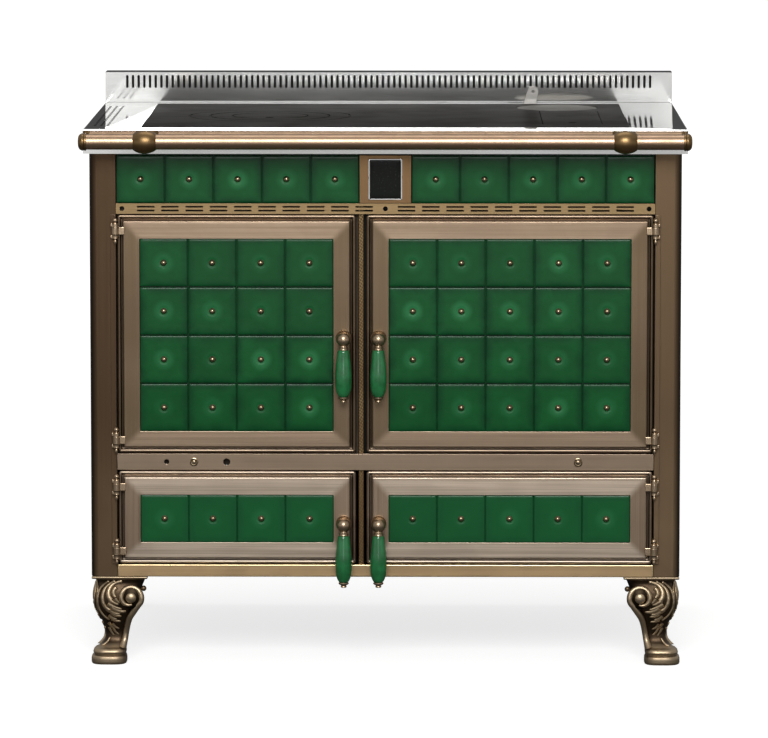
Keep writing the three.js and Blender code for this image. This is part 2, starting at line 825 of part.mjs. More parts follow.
// A barrel on the bar, its stem back to the apron and a round flange there
function railBall(x) {
  const half = railBallWidth / 2;
  const radius = railBallDiameter / 2;
  const bore = railDiameter / 2 + fit;
  const profile = [
    [bore, -half], [0.72 * radius, -half], [0.76 * radius, -0.86 * half], [0.92 * radius, -0.55 * half],
    [radius, -0.15 * half], [radius, 0.15 * half], [0.92 * radius, 0.55 * half],
    [0.76 * radius, 0.86 * half], [0.72 * radius, half], [bore, half], [bore, -half],
  ];
  const barrel = turned(profile, 'x', x, railY, railZ, 16);
  const back = topFront - fit;
  const stemProfile = [
    [0, railY + bore + 1.5], [railStemDiameter / 2, railY + bore + 1.5],
    [railStemDiameter / 2, back - railFlangeThickness],
    [railFlangeDiameter / 2, back - railFlangeThickness], [railFlangeDiameter / 2, back], [0, back],
  ];
  return barrel.add(turned(stemProfile, 'y', x, 0, railZ, 12));
}

// A domed cap over the end of the bar
function railCap() {
  const radius = railCapDiameter / 2;
  const bore = railDiameter / 2 + fit;
  const start = railEnd - railCapLength;
  const bottom = railEnd - railCapLength / 2 + fit;
  const profile = [
    [bore, start], [radius, start], [radius, railEnd - 4], [0.78 * radius, railEnd - 1], [0, railEnd],
    [0, bottom], [bore, bottom], [bore, start],
  ];
  return turned(profile, 'x', 0, railY, railZ, 16);
}

// ---------------------------------------------------------------- hinges and doors

const doors = [
  {
    name: 'firebox_door', side: -1, tiles: fireDoorTiles, rows: upperDoorRows,
    base: upperDoorBase, handleOffset: upperHandleOffset,
  },
  {
    name: 'oven_door', side: 1, tiles: ovenDoorTiles, rows: upperDoorRows,
    base: upperDoorBase, handleOffset: upperHandleOffset,
  },
  {
    name: 'ash_door', side: -1, tiles: fireDoorTiles, rows: lowerDoorRows,
    base: lowerDoorBase, handleOffset: lowerHandleOffset,
  },
  {
    name: 'store_door', side: 1, tiles: ovenDoorTiles, rows: lowerDoorRows,
    base: lowerDoorBase, handleOffset: lowerHandleOffset,
  },
];

for (const door of doors) {
  door.width = doorWidth(door.tiles);
  door.height = doorHeight(door.rows);
  door.top = door.base + door.height;
  door.hinges = [door.base + hingeInsetBottom, door.top - hingeInsetTop];
  door.handleX = doorX(door, leafStart + door.width - handleInset);
  door.handleZ = (door.base + door.top) / 2 + door.handleOffset;
}

// A distance from the hinge axis as a place across the range
function doorX(door, distance) {
  return door.side * (hingeX - distance);
}

function doorSpan(door, from, to) {
  return [doorX(door, from), doorX(door, to)].sort((a, b) => a - b);
}

function doorBox(door, from, to, y0, y1, z0, z1) {
  const [x0, x1] = doorSpan(door, from, to);
  return box(x0, x1, y0, y1, z0, z1);
}

// The leaf, the raised frame on it, and the hinge knuckles with their tabs
function doorFrame(door) {
  const leafEnd = leafStart + door.width;
  const [x0, x1] = doorSpan(door, leafStart, leafEnd);
  const leaf = frontExtrusion(
    roundedRectangle(x0, x1, door.base, door.top, lipRadius), frameThickness, leafBack, 2,
  );
  const raised = doorBox(
    door, leafStart + lip, leafEnd - lip, 0, frameThickness + 1, door.base + lip, door.top - lip,
  );
  const inset = lip + stile;
  const recess = doorBox(
    door, leafStart + inset, leafEnd - inset, -1, frameThickness,
    door.base + lip + railBottom, door.top - lip - railTop,
  );
  const spindleHole = turned(
    disc(spindleDiameter / 2 + fit, -1, leafBack + 1), 'y', door.handleX, 0, door.handleZ, 12,
  );
  const frame = cut(leaf.add(raised), [recess, spindleHole]);
  return cut(join([frame, ...door.hinges.map((z) => knuckle(door, z))]), door.hinges.map(
    (z) => turned(
      disc(pinDiameter / 2 + fit, -knuckleHeight / 2 - 1, knuckleHeight / 2 + 1),
      'z', doorX(door, 0), -hingeForward, z, 8,
    ),
  ));
}

function knuckle(door, z) {
  const half = knuckleHeight / 2;
  const tube = turned(
    disc(knuckleDiameter / 2, -half, half), 'z', doorX(door, 0), -hingeForward, z, 12,
  );
  const tab = doorBox(door, 0, leafStart + lip + 3, -hingeForward + 1, 1.5, z - half, z + half);
  return tube.add(tab);
}

function doorTiles(door) {
  const [x0] = doorSpan(door, leafStart + lip + stile, leafStart + door.width - lip - stile);
  const z0 = door.base + lip + railBottom + tileMargin;
  const face = frameThickness - fit - tileBacker - tileThickness;
  return tilePanel(x0 + tileMargin, z0, door.tiles, door.rows, face);
}

// A pressed pan behind the leaf, its hollow side to the leaf
function doorLiner(door) {
  const from = leafStart + linerInset;
  const to = leafStart + door.width - linerInset;
  const z0 = door.base + linerInset;
  const z1 = door.top - linerInset;
  const y0 = leafBack + fit;
  const pan = doorBox(door, from, to, y0, y0 + linerDepth, z0, z1);
  const hollow = doorBox(
    door, from + linerSheet, to - linerSheet, y0 - 1, y0 + linerDepth - linerSheet,
    z0 + linerSheet, z1 - linerSheet,
  );
  return pan.subtract(hollow);
}

// The opening that a liner enters, through a face from y0 to y1
function doorway(door, y0, y1) {
  const inset = linerInset - linerPlay;
  return doorBox(
    door, leafStart + inset, leafStart + door.width - inset, y0, y1, door.base + inset, door.top - inset,
  );
}

// The strip on a column that carries the pins and finials of that side's four hinges
function hingeStrip() {
  const back = columnSetback - fit;
  const outer = -columnInner - fit - hingeStripWidth;
  const strip = box(
    outer, -columnInner - fit, back - hingeStripThickness, back,
    lowerDoorBase, upperDoorBase + upperDoorHeight,
  );
  const hinges = doors.filter((door) => door.side < 0).flatMap((door) => door.hinges);
  return join([strip, ...hinges.map((z) => hingePin(z, outer, back - 1))]);
}

function hingePin(z, outer, back) {
  const x = -hingeX;
  const near = knuckleHeight / 2 + fit;
  const far = near + 5.5;
  const pin = pinDiameter / 2;
  const barrel = barrelDiameter / 2;
  const profile = [
    [0, -far - finialLength], [0.8 * barrel, -far - 3], [barrel, -far], [barrel, -near],
    [pin, -near], [pin, near], [barrel, near], [barrel, far], [0.5 * barrel, far + 0.8],
    ...arcProfile(far + 4.6, 4.4, 60, 180, 3),
  ];
  const pieces = [turned(profile, 'z', x, -hingeForward, z, 8)];
  for (const sign of [-1, 1]) {
    const [z0, z1] = [sign * near, sign * far].sort((a, b) => a - b);
    pieces.push(box(outer + 1, x, -hingeForward, back, z + z0, z + z1));
  }
  return join(pieces);
}

// Rosette, spindle, ball, the rod that carries the grip, its end cap and the latch cam
function doorHandle(door) {
  const { handleX: x, handleZ: z } = door;
  const radius = ballDiameter / 2;
  const rod = handleRodDiameter / 2;
  const camFront = leafBack + 1;
  const neckAngle = 150;
  const neck = radius * Math.sin(THREE.MathUtils.degToRad(neckAngle));
  const spindleProfile = [
    ...arcProfile(-ballStandoff, radius, 0, neckAngle, 5),
    [neck, -fit - rosetteThickness - 1], [rosetteDiameter / 2 - 3, -fit - rosetteThickness],
    [rosetteDiameter / 2, -fit - 1], [rosetteDiameter / 2, -fit],
    [spindleDiameter / 2, -fit], [spindleDiameter / 2, camFront + 1], [0, camFront + 1],
  ];
  const gripEnd = -gripStart - gripLength - fit;
  const rodProfile = [
    [0, gripEnd - capLength], [2.6, gripEnd - capLength + 0.6], [2.6, gripEnd - capLength + 2.6],
    [4.2, gripEnd - capLength + 3.4], [7, gripEnd - 1], [7, gripEnd], [rod, gripEnd],
    [rod, -gripStart + fit], [0.3 * ballDiameter, -gripStart + fit], [0.22 * ballDiameter, -radius + 1],
    [0, -radius + 1],
  ];
  const cam = box(
    x - camWidth / 2, x + camWidth / 2, camFront, camFront + camThickness, z - camReach, z + camWidth / 2,
  );
  return join([
    turned(spindleProfile, 'y', x, 0, z, 10),
    turned(rodProfile, 'z', x, -ballStandoff, z, 8),
    cam,
  ]);
}

// A glazed sleeve round the rod, swelling to its widest at three quarters of its length
function doorGrip(door) {
  const bore = handleRodDiameter / 2 + fit;
  const top = gripTopDiameter / 2;
  const widest = gripDiameter / 2;
  const outline = [
    [0.86 * top, 0], [top, 0.03], [lerp(top, widest, 0.3), 0.25], [lerp(top, widest, 0.7), 0.5],
    [widest, 0.74], [0.96 * widest, 0.86], [0.78 * widest, 0.95], [0.52 * widest, 1],
  ];
  const down = (share) => -gripStart - share * gripLength;
  const profile = [
    [bore, down(0)], ...outline.map(([radius, share]) => [radius, down(share)]),
    [bore, down(1)], [bore, down(0)],
  ];
  return turned(profile, 'z', door.handleX, -ballStandoff, door.handleZ, 10);
}

function lerp(a, b, share) {
  return a + (b - a) * share;
}

// ---------------------------------------------------------------- legs

// Stations of the cabriole leg: height as a share of the leg, and the two sides of its outline
// measured in from the corner of the body. The leg is the same seen from the front and the side.
const legStations = [
  [0, 3, 54], [0.025, 0, 56], [0.10, 3.5, 58], [0.108, 6, 57.5], [0.185, 9, 57.3], [0.21, 15, 57.3],
  [0.30, 19.8, 58.8], [0.38, 19, 62.2], [0.47, 15, 65], [0.565, 9, 71], [0.63, 4.5, 78],
  [0.75, -0.5, 80], [0.87, 5.5, 80], [0.965, 7, 90],
];

function frontLeg() {
  const corner = bodyHalf;
  const sides = 12;
  const rings = legStations.map(([share, outer, inner]) => {
    const z = share * (legHeight - fit);
    const half = (inner - outer) / 2;
    const centre = (inner + outer) / 2;
    return Array.from({ length: sides }, (_, i) => {
      const angle = (2 * Math.PI * (i + 0.5)) / sides;
      const square = (t) => Math.sign(t) * Math.abs(t) ** legRoundness;
      return [
        -corner + centre + half * square(Math.cos(angle)),
        columnSetback + centre + half * square(Math.sin(angle)), z,
      ];
    });
  });
  const padTop = legHeight - fit;
  const pad = box(
    legCornerInset - corner, legCornerInset - corner + legPadWidth,
    columnSetback + legCornerInset, columnSetback + legCornerInset + legPadWidth,
    padTop - legPadThickness, padTop,
  );
  return join([loft(rings), pad, ...volutes(corner)]);
}

// One scroll faces the front and one faces the side; each has a round eye.
function volutes(corner) {
  const rim = voluteSetback;
  const groove = rim + 3.5;
  const profile = [
    [0, rim - 3], [0.8 * voluteEye, rim - 2], [voluteEye, groove], [0.7 * voluteRadius, groove],
    [0.8 * voluteRadius, rim], [voluteRadius, rim + 3], [voluteRadius, rim + voluteThickness],
    [0, rim + voluteThickness],
  ];
  return [
    turned(profile, 'y', voluteInset - corner, columnSetback, voluteHeight, 14),
    turned(profile, 'x', -corner, columnSetback + voluteInset, voluteHeight, 14),
  ];
}

function rearLeg() {
  const back = bodyBack - rearLegInset;
  const outer = -bodyHalf + rearLegInset;
  const post = box(outer, outer + rearLegWidth, back - rearLegWidth, back, 0, legHeight - fit);
  const spread = (rearFootWidth - rearLegWidth) / 2;
  const foot = box(
    outer - spread, outer + rearLegWidth + spread, back - rearLegWidth - spread, back + spread,
    0, rearFootHeight,
  );
  return post.add(foot);
}

// ---------------------------------------------------------------- firebox and ash drawer

const fireDoor = doors[0];
const ovenDoor = doors[1];
const fireLeft = doorX(fireDoor, leafStart + linerInset - linerPlay);
const fireRight = doorX(fireDoor, leafStart + fireDoor.width - linerInset + linerPlay);
const fireFloor = upperDoorBase + linerInset - linerPlay;
const fireCentreX = (fireLeft + fireRight) / 2;
const fireCentreY = flangeFront + fireDepth / 2;

// A cast box, open above and below, with a floor that has the ash opening in it
function firebox() {
  const y0 = flangeFront;
  const y1 = flangeFront + fireDepth;
  const z0 = shelfTop + fit;
  const outside = box(fireLeft - fireWall, fireRight + fireWall, y0, y1, z0, boxTop);
  const inside = box(fireLeft, fireRight, y0 + flangeThickness, y1 - fireWall, fireFloor, boxTop + 1);
  const chute = box(fireLeft, fireRight, y0 + flangeThickness, y1 - fireWall, z0 - 1, fireFloor - fireWall);
  const flange = box(
    -columnInner + fit, postLeft - fit, y0, y0 + flangeThickness, z0, boxTop,
  );
  const gasPass = box(
    fireRight - 1, fireRight + fireWall + 1, fireCentreY - gasPassDepth / 2, fireCentreY + gasPassDepth / 2,
    boxTop - gasPassHeight, boxTop + 1,
  );
  return cut(outside.add(flange), [
    inside, chute, gasPass, doorway(fireDoor, y0 - 1, y0 + flangeThickness + 1),
    ashChute(z0, fireFloor + 1),
  ]);
}

// The way that the ash falls, through the firebox floor and the shelf
function ashChute(z0, z1) {
  const halfX = grateWidth / 2 - grateRest;
  const halfY = grateDepth / 2 - grateRest;
  return box(fireCentreX - halfX, fireCentreX + halfX, fireCentreY - halfY, fireCentreY + halfY, z0, z1);
}

function grate() {
  const z0 = fireFloor + fit;
  const plate = box(
    fireCentreX - grateWidth / 2, fireCentreX + grateWidth / 2,
    fireCentreY - grateDepth / 2, fireCentreY + grateDepth / 2, z0, z0 + grateThickness,
  );
  const halfY = grateDepth / 2 - 2 * grateRest;
  const step = (grateWidth - 2 * grateRest) / grateSlots;
  const slots = Array.from({ length: grateSlots }, (_, i) => {
    const x = fireCentreX + (i - (grateSlots - 1) / 2) * step;
    const half = grateSlotWidth / 2;
    return box(
      x - half, x + half, fireCentreY - halfY, fireCentreY + halfY, z0 - 1, z0 + grateThickness + 1,
    );
  });
  return cut(plate, slots);
}

// An open pan with a folded pull on its front
function ashDrawer() {
  const x0 = -columnInner + ashDrawerPlay;
  const x1 = postLeft - ashDrawerPlay;
  const y0 = leafBack + fit + linerDepth + ashPullDepth + 4;
  const z0 = floorTop + fit;
  const z1 = z0 + ashDrawerHeight;
  const pan = box(x0, x1, y0, y0 + ashDrawerDepth, z0, z1);
  const hollow = box(
    x0 + ashSheet, x1 - ashSheet, y0 + ashSheet, y0 + ashDrawerDepth - ashSheet, z0 + ashSheet, z1 + 1,
  );
  const centre = (x0 + x1) / 2;
  const half = ashPullWidth / 2;
  const z = z0 + ashPullHeight;
  const front = y0 - ashPullDepth;
  const pull = box(centre - half, centre + half, front, y0 + ashSheet / 2, z, z + sheet);
  const turnDown = box(centre - half, centre + half, front, front + sheet, z - ashPullDepth, z + 1);
  return join([pan.subtract(hollow), pull, turnDown]);
}

// ---------------------------------------------------------------- oven

const ovenLeft = doorX(ovenDoor, leafStart + ovenDoor.width - linerInset + linerPlay);
const ovenRight = doorX(ovenDoor, leafStart + linerInset - linerPlay);
const ovenFloor = upperDoorBase + linerInset - linerPlay;
const rackZ = ovenFloor + rackHeight;
const rackFront = flangeFront + rackSetback;
const ovenBack = flangeFront + ovenDepth;

// A sheet box, open in front, with a face plate, a base and rack supports
function ovenBox() {
  const y0 = flangeFront;
  const outside = box(ovenLeft - ovenWall, ovenRight + ovenWall, y0, ovenBack, shelfTop + fit, ovenTop);
  const face = box(postRight + fit, columnInner - fit, y0, y0 + flangeThickness, shelfTop + fit, ovenTop);
  const cavity = box(ovenLeft, ovenRight, y0 - 1, ovenBack - ovenWall, ovenFloor, ovenTop - ovenWall);
  const under = box(
    ovenLeft, ovenRight, y0 + flangeThickness, ovenBack - ovenWall, shelfTop - 1, ovenFloor - ovenWall,
  );
  const lintel = box(
    ovenLeft - 1, ovenRight + 1, y0, y0 + flangeThickness,
    ovenDoor.top - linerInset + linerPlay, ovenTop - ovenWall + 1,
  );
  const support = (x0, x1) => box(
    x0, x1, rackFront - rackWire, ovenBack - ovenWall + 1, rackZ - rackSupport, rackZ,
  );
  return join([
    cut(outside.add(face), [cavity, under]), lintel,
    support(ovenLeft - 1, ovenLeft + rackSupport), support(ovenRight - rackSupport, ovenRight + 1),
  ]);
}

// A wire shelf on the supports: a frame of square wire with bars from front to back
function ovenRack() {
  const x0 = ovenLeft + rackPlay;
  const x1 = ovenRight - rackPlay;
  const y0 = rackFront;
  const y1 = ovenBack - ovenWall - rackPlay;
  const z0 = rackZ + fit;
  const z1 = z0 + rackWire;
  const pieces = [
    box(x0, x1, y0, y0 + rackWire, z0, z1), box(x0, x1, y1 - rackWire, y1, z0, z1),
  ];
  const bar = 0.7 * rackWire;
  const sink = (rackWire - bar) / 2;
  for (let i = 0; i < rackBars; i += 1) {
    const x = x0 + sink + ((x1 - x0 - rackWire) * i) / (rackBars - 1);
    pieces.push(box(x, x + bar, y0 + sink, y1 - sink, z0 + sink, z1 - sink));
  }
  return join(pieces);
}

// ---------------------------------------------------------------- flue box and damper

const flueHalf = fluePlateDiameter / 2 + flueBoxPlay;
const shaftZ = worktop - shaftDrop;
const flueBack = flueY + flueHalf - flueBoxWall;

// A duct from the gas space over the oven to the flue opening, open above and in front
function flueBox() {
  const outside = box(
    flueX - flueHalf, flueX + flueHalf, flueY - flueHalf, flueBack, ovenTop + fit, boxTop,
  );
  const inside = box(
    flueX - flueHalf + flueBoxWall, flueX + flueHalf - flueBoxWall, flueY - flueHalf - 1,
    flueBack - flueBoxWall, ovenTop + fit + flueBoxWall, boxTop + 1,
  );
  const bearing = turned(
    disc(shaftDiameter / 2 + fit, flueBack - flueBoxWall - 1, flueBack + 1), 'y', leverX, 0, shaftZ, 12,
  );
  return cut(outside, [inside, bearing]);
}

// The tab above the worktop, with its finger hole, and the shaft below it
function damperLever() {
  const length = shaftDrop + leverRise;
  const base = leverBaseWidth / 2;
  const tip = leverTopWidth / 2;
  const outline = new THREE.Shape();
  outline.moveTo(-base, -shaftDiameter);
  outline.lineTo(base, -shaftDiameter);
  outline.lineTo(tip, length - tip);
  outline.absarc(0, length - tip, tip, 0, Math.PI);
  outline.closePath();
  const hole = new THREE.Path();
  hole.absarc(0, length - tip, leverHoleRadius, 0, 2 * Math.PI, true);
  outline.holes.push(hole);
  const options = { depth: leverThickness, bevelEnabled: false, curveSegments: 5 };
  const tab = new THREE.ExtrudeGeometry(outline, options);
  tab.rotateX(Math.PI / 2);
  tab.rotateY(THREE.MathUtils.degToRad(leverLean));
  tab.translate(leverX, leverY + leverThickness / 2, shaftZ);
  const shaft = turned(
    disc(shaftDiameter / 2, flueY - flapWidth / 2 - 4, leverY), 'y', leverX, 0, shaftZ, 12,
  );
  return solid(tab).add(shaft);
}

function damperFlap() {
  const plate = new THREE.BoxGeometry(flapLength, flapWidth, flapThickness);
  plate.translate(flapLength / 2, 0, 0);
  plate.rotateY(THREE.MathUtils.degToRad(-flapAngle));
  plate.translate(leverX, flueY, shaftZ);
  const half = flapWidth / 2;
  const hub = turned(disc(0.85 * shaftDiameter, -half, half), 'y', leverX, flueY, shaftZ, 12);
  const bore = turned(
    disc(shaftDiameter / 2 + fit, -half - 1, half + 1), 'y', leverX, flueY, shaftZ, 12,
  );
  return hub.add(solid(plate)).subtract(bore);
}

// ---------------------------------------------------------------- assembly

addPiece('side_panel_left', sidePanel(), darkBronze);
addPiece('side_panel_right', sidePanel(), darkBronze, true);
addPiece('back_panel', backPanel(), galvanised);
addPiece('floor_pan', levelSheet(legHeight, floorTop), galvanised);
addPiece('mid_shelf', shelf(), galvanised);
addPiece('bottom_rail', frontStrip(legHeight, bottomRailTop), gilt);
addPiece('centre_post', centrePost(), darkBronze);
addPiece('control_strip', controlStrip(), bronze);
addPiece('vent_strip', ventStrip(), gilt);
addPiece('frieze_tiles_left', friezePanel(), greenGlaze);
addPiece('frieze_tiles_right', friezePanel(), greenGlaze, true);
addPiece('plaque_block', plaqueBlock(), bronze);
addPiece('plaque_plate', plaquePlate(), blackEnamel);

addPiece('steel_top', steelTop(), stainless);
addPiece('splash_back', splashBack(), stainless);
addPiece('hob_plate', hobPlate(), castIron);
addPiece('hob_ring_outer', outerRing(), castIron);
addPiece('hob_ring_inner', innerRing(), castIron);
addPiece('hob_lid', hobLid(), castIron);
addPiece('cleaning_plate', cleaningPlate(), castIron);
addPiece('flue_cover', flueCover(), groundIron);

addPiece('rail_bar', railBar(), bronze);
addPiece('rail_ball_left', railBall(-railBallX), castBronze);
addPiece('rail_ball_right', railBall(-railBallX), castBronze, true);
addPiece('rail_end_left', railCap(), castBronze, true);
addPiece('rail_end_right', railCap(), castBronze);

addPiece('leg_front_left', frontLeg(), castBronze);
addPiece('leg_front_right', frontLeg(), castBronze, true);
addPiece('leg_rear_left', rearLeg(), castBronze);
addPiece('leg_rear_right', rearLeg(), castBronze, true);

addPiece('hinge_strip_left', hingeStrip(), darkBronze);
addPiece('hinge_strip_right', hingeStrip(), darkBronze, true);

for (const door of doors) {
  addPiece(`${door.name}_frame`, doorFrame(door), bronze);
  addPiece(`${door.name}_tiles`, doorTiles(door), greenGlaze);
  addPiece(`${door.name}_liner`, doorLiner(door), castIron);
  addPiece(`${door.name}_handle`, doorHandle(door), castBronze);
  addPiece(`${door.name}_grip`, doorGrip(door), greenGlaze);
}

addPiece('firebox', firebox(), firebrick);
addPiece('grate', grate(), castIron);
addPiece('ash_drawer', ashDrawer(), galvanised);
addPiece('oven_box', ovenBox(), blackEnamel);
addPiece('oven_rack', ovenRack(), stainless);
addPiece('flue_box', flueBox(), castIron);
addPiece('damper_lever', damperLever(), stainless);
addPiece('damper_flap', damperFlap(), castIron);

export default range;
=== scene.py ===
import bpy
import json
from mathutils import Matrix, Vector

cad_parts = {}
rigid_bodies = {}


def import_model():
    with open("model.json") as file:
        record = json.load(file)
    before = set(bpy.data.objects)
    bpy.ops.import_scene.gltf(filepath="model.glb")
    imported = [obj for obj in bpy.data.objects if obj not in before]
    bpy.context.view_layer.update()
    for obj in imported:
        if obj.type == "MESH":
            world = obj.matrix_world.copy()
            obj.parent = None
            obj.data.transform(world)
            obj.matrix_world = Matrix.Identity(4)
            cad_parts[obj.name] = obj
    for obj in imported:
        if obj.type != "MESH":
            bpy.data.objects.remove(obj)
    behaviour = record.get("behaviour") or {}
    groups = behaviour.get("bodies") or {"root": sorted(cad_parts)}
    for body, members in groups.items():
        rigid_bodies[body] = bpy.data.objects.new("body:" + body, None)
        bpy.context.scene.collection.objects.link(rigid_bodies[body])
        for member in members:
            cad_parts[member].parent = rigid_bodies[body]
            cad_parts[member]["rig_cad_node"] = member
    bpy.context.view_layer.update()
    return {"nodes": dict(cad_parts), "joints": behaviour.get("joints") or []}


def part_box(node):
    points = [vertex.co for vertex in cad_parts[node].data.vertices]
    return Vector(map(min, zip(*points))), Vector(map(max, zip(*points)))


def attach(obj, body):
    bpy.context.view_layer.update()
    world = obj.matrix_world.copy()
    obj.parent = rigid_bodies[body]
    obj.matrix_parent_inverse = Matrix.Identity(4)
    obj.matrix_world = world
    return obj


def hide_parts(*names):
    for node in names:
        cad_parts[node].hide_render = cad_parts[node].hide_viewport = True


bl_info = {
    "name": "Tiled Wood Cookstove",
    "version": (1, 0, 0),
    "blender": (4, 5, 0),
    "location": "3D View > Sidebar > Cookstove",
    "description": "Finishes the pieces of a tiled wood cookstove and sets up its studio",
    "category": "Object",
}

import json
import math
import random

import bmesh
import bpy
from bpy.props import FloatProperty, FloatVectorProperty, IntProperty, PointerProperty
from mathutils import Matrix, Vector
from mathutils.bvhtree import BVHTree

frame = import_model()

# Shapes are made in millimetres in the stove's own frame and scaled once, when a piece is finished.
MM = 0.001

DOORS = ("firebox_door", "oven_door", "ash_door", "store_door")


# ---------------------------------------------------------------- measures taken from the frame


def span(node):
    """The lowest and highest corner of a CAD node, in millimetres."""
    low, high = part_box(node)
    return low / MM, high / MM


def joint_place(name):
    """The point that a joint turns about, in millimetres."""
    joint = next(j for j in frame["joints"] if j["name"] == name)
    return Vector(joint["pos_m"]) / MM


def linear(hex_colour):
    """A screen colour such as 'a28e7b' as the linear colour that a shader takes."""
    parts = [int(hex_colour[i : i + 2], 16) / 255 for i in (0, 2, 4)]
    return [p / 12.92 if p <= 0.04045 else ((p + 0.055) / 1.055) ** 2.4 for p in parts] + [1.0]


# ---------------------------------------------------------------- what a user may change


def length(name, description, default):
    """A length, whose default is given in millimetres."""
    return FloatProperty(name=name, description=description, default=default * MM, unit="LENGTH")


def colour(name, description, default):
    """A colour, whose default is given as on a screen."""
    return FloatVectorProperty(
        name=name, description=description, default=linear(default), size=4, subtype="COLOR",
        min=0, max=1,
    )


class CookstoveSizes(bpy.types.PropertyGroup):
    bead_width: length("Door bead", "Width of the rounded bead round each door", 6.6)
    bead_height: length("Bead height", "How far the bead stands off the door leaf", 3.2)
    frame_roll: length("Frame roll", "Radius of the outer edges of the door frames", 2.2)
    tile_edge: length("Tile edge", "How deep the glaze rounds over at the edge of a tile", 1.5)
    stud_diameter: length("Stud", "Diameter of the stud in each tile", 10.4)
    ring_groove: length("Ring edge", "Rounding of the edges of the hob and its rings", 1.4)
    sheet_edge: length("Sheet edge", "Rounding of the edges of sheet metal", 0.5)
    rib_height: length("Rib relief", "Relief of the raised ribs on the front legs", 3.0)
    turning_steps: IntProperty(
        name="Turning steps", description="Facets round a turned piece", default=48, min=12, max=96,
    )


class CookstoveFinishes(bpy.types.PropertyGroup):
    glaze: colour("Glaze", "The green of the tiles", "0d4a22")
    glaze_edge: colour("Glaze edge", "The darker green where the glaze runs thin", "04351a")
    grip_glaze: colour("Grips", "The green of the grips, which clouds a little lighter", "11552a")
    rail_bronze: colour("Rails", "Bronze of the door rails and strips", "a9947e")
    # The stiles are darker than the rails as painted reflection of the light that the rails' brushing
    # catches.
    stile_bronze: colour("Stiles", "Darker bronze of the door stiles", "71604b")
    column_bronze: colour("Columns", "Dark bronze of the corner columns and rear legs", "5d4a38")
    post_bronze: colour("Post", "Bronze of the high spots of the centre post", "87704c")
    gilt: colour("Gilt", "Golden bronze of the slotted strip", "a48a64")
    # A lighter copy of the gilt: painted light on the lowest strip.
    base_bronze: colour("Bottom strip", "Lighter bronze of the lowest strip", "e2c092")
    plaque_bronze: colour("Plaque block", "Bronze of the block round the plaque", "86694a")
    turned_bronze: colour("Turned bronze", "Bronze of the towel rail", "a98d74")
    ball_bronze: colour("Balls", "Darker bronze of the rail's barrels and end caps", "7c6444")
    handle_bronze: colour("Handle", "Polished bronze of the handles and hinges", "b09a80")
    stud_bronze: colour("Studs", "Bronze of the studs and buttons", "9c8a70")
    casting: colour("Casting", "Patinated bronze of the legs", "4d3f31")
    steel: colour("Steel", "Polished stainless sheet", "e4e4e2")
    hob_iron: colour("Hob iron", "Blackened iron of the hob", "423e39")
    ground_iron: colour("Ground iron", "Ground iron of the flue cover, the lever and the oven rack", "8d8b87")
    fire_iron: colour("Fire iron", "Heat-dulled castings", "4c443c")
    zinc: colour("Zinc", "Dull zinc-coated sheet", "8a8b89")
    enamel: colour("Enamel", "Black enamel of the plaque and the oven", "171916")


class CookstoveStudio(bpy.types.PropertyGroup):
    camera_place: FloatVectorProperty(
        name="Camera", description="Where the camera stands", default=(0.081, -8.9, 1.4997),
        size=3, subtype="TRANSLATION", unit="LENGTH",
    )
    camera_aim: FloatVectorProperty(
        name="Aim", description="The point that the camera looks at", default=(-0.0021, -0.275, 0.4745),
        size=3, subtype="TRANSLATION", unit="LENGTH",
    )
    focal_length: FloatProperty(
        name="Focal length", description="Focal length in millimetres", default=258.1, unit="CAMERA",
    )
    lamp_power: FloatProperty(
        name="Lamp power", description="Power that each lamp has its share of", default=168.0, unit="POWER",
    )
    sky_strength: FloatProperty(
        name="Fill", description="Strength of the even light that dull surfaces get", default=0.34,
        subtype="FACTOR", min=0, max=1,
    )


# ---------------------------------------------------------------- shaders


class Value:
    """A socket of a shader tree. Arithmetic on it adds Math nodes."""

    def __init__(self, tree, output):
        self.tree = tree
        self.output = output

    def math(self, operation, *values):
        return self.tree.node("ShaderNodeMath", {"operation": operation}, values)

    def __add__(self, other):
        return self.math("ADD", self, other)

    def __radd__(self, other):
        return self.math("ADD", other, self)

    def __sub__(self, other):
        return self.math("SUBTRACT", self, other)

    def __rsub__(self, other):
        return self.math("SUBTRACT", other, self)

    def __mul__(self, other):
        return self.math("MULTIPLY", self, other)

    def __rmul__(self, other):
        return self.math("MULTIPLY", other, self)

    def __truediv__(self, other):
        return self.math("DIVIDE", self, other)

    def __pow__(self, other):
        return self.math("POWER", self, other)

    def __abs__(self):
        return self.math("ABSOLUTE", self)

    def sine(self):
        return self.math("SINE", self)

    def larger(self, other):
        return self.math("MAXIMUM", self, other)

    def smaller(self, other):
        return self.math("MINIMUM", self, other)

    def fade(self, low, high):
        """0 below low and 1 above high, with a soft step between; low may be the larger one."""
        return self.tree.node(
            "ShaderNodeMapRange", {"interpolation_type": "SMOOTHSTEP"},
            {"Value": self, "From Min": low, "From Max": high},
        )


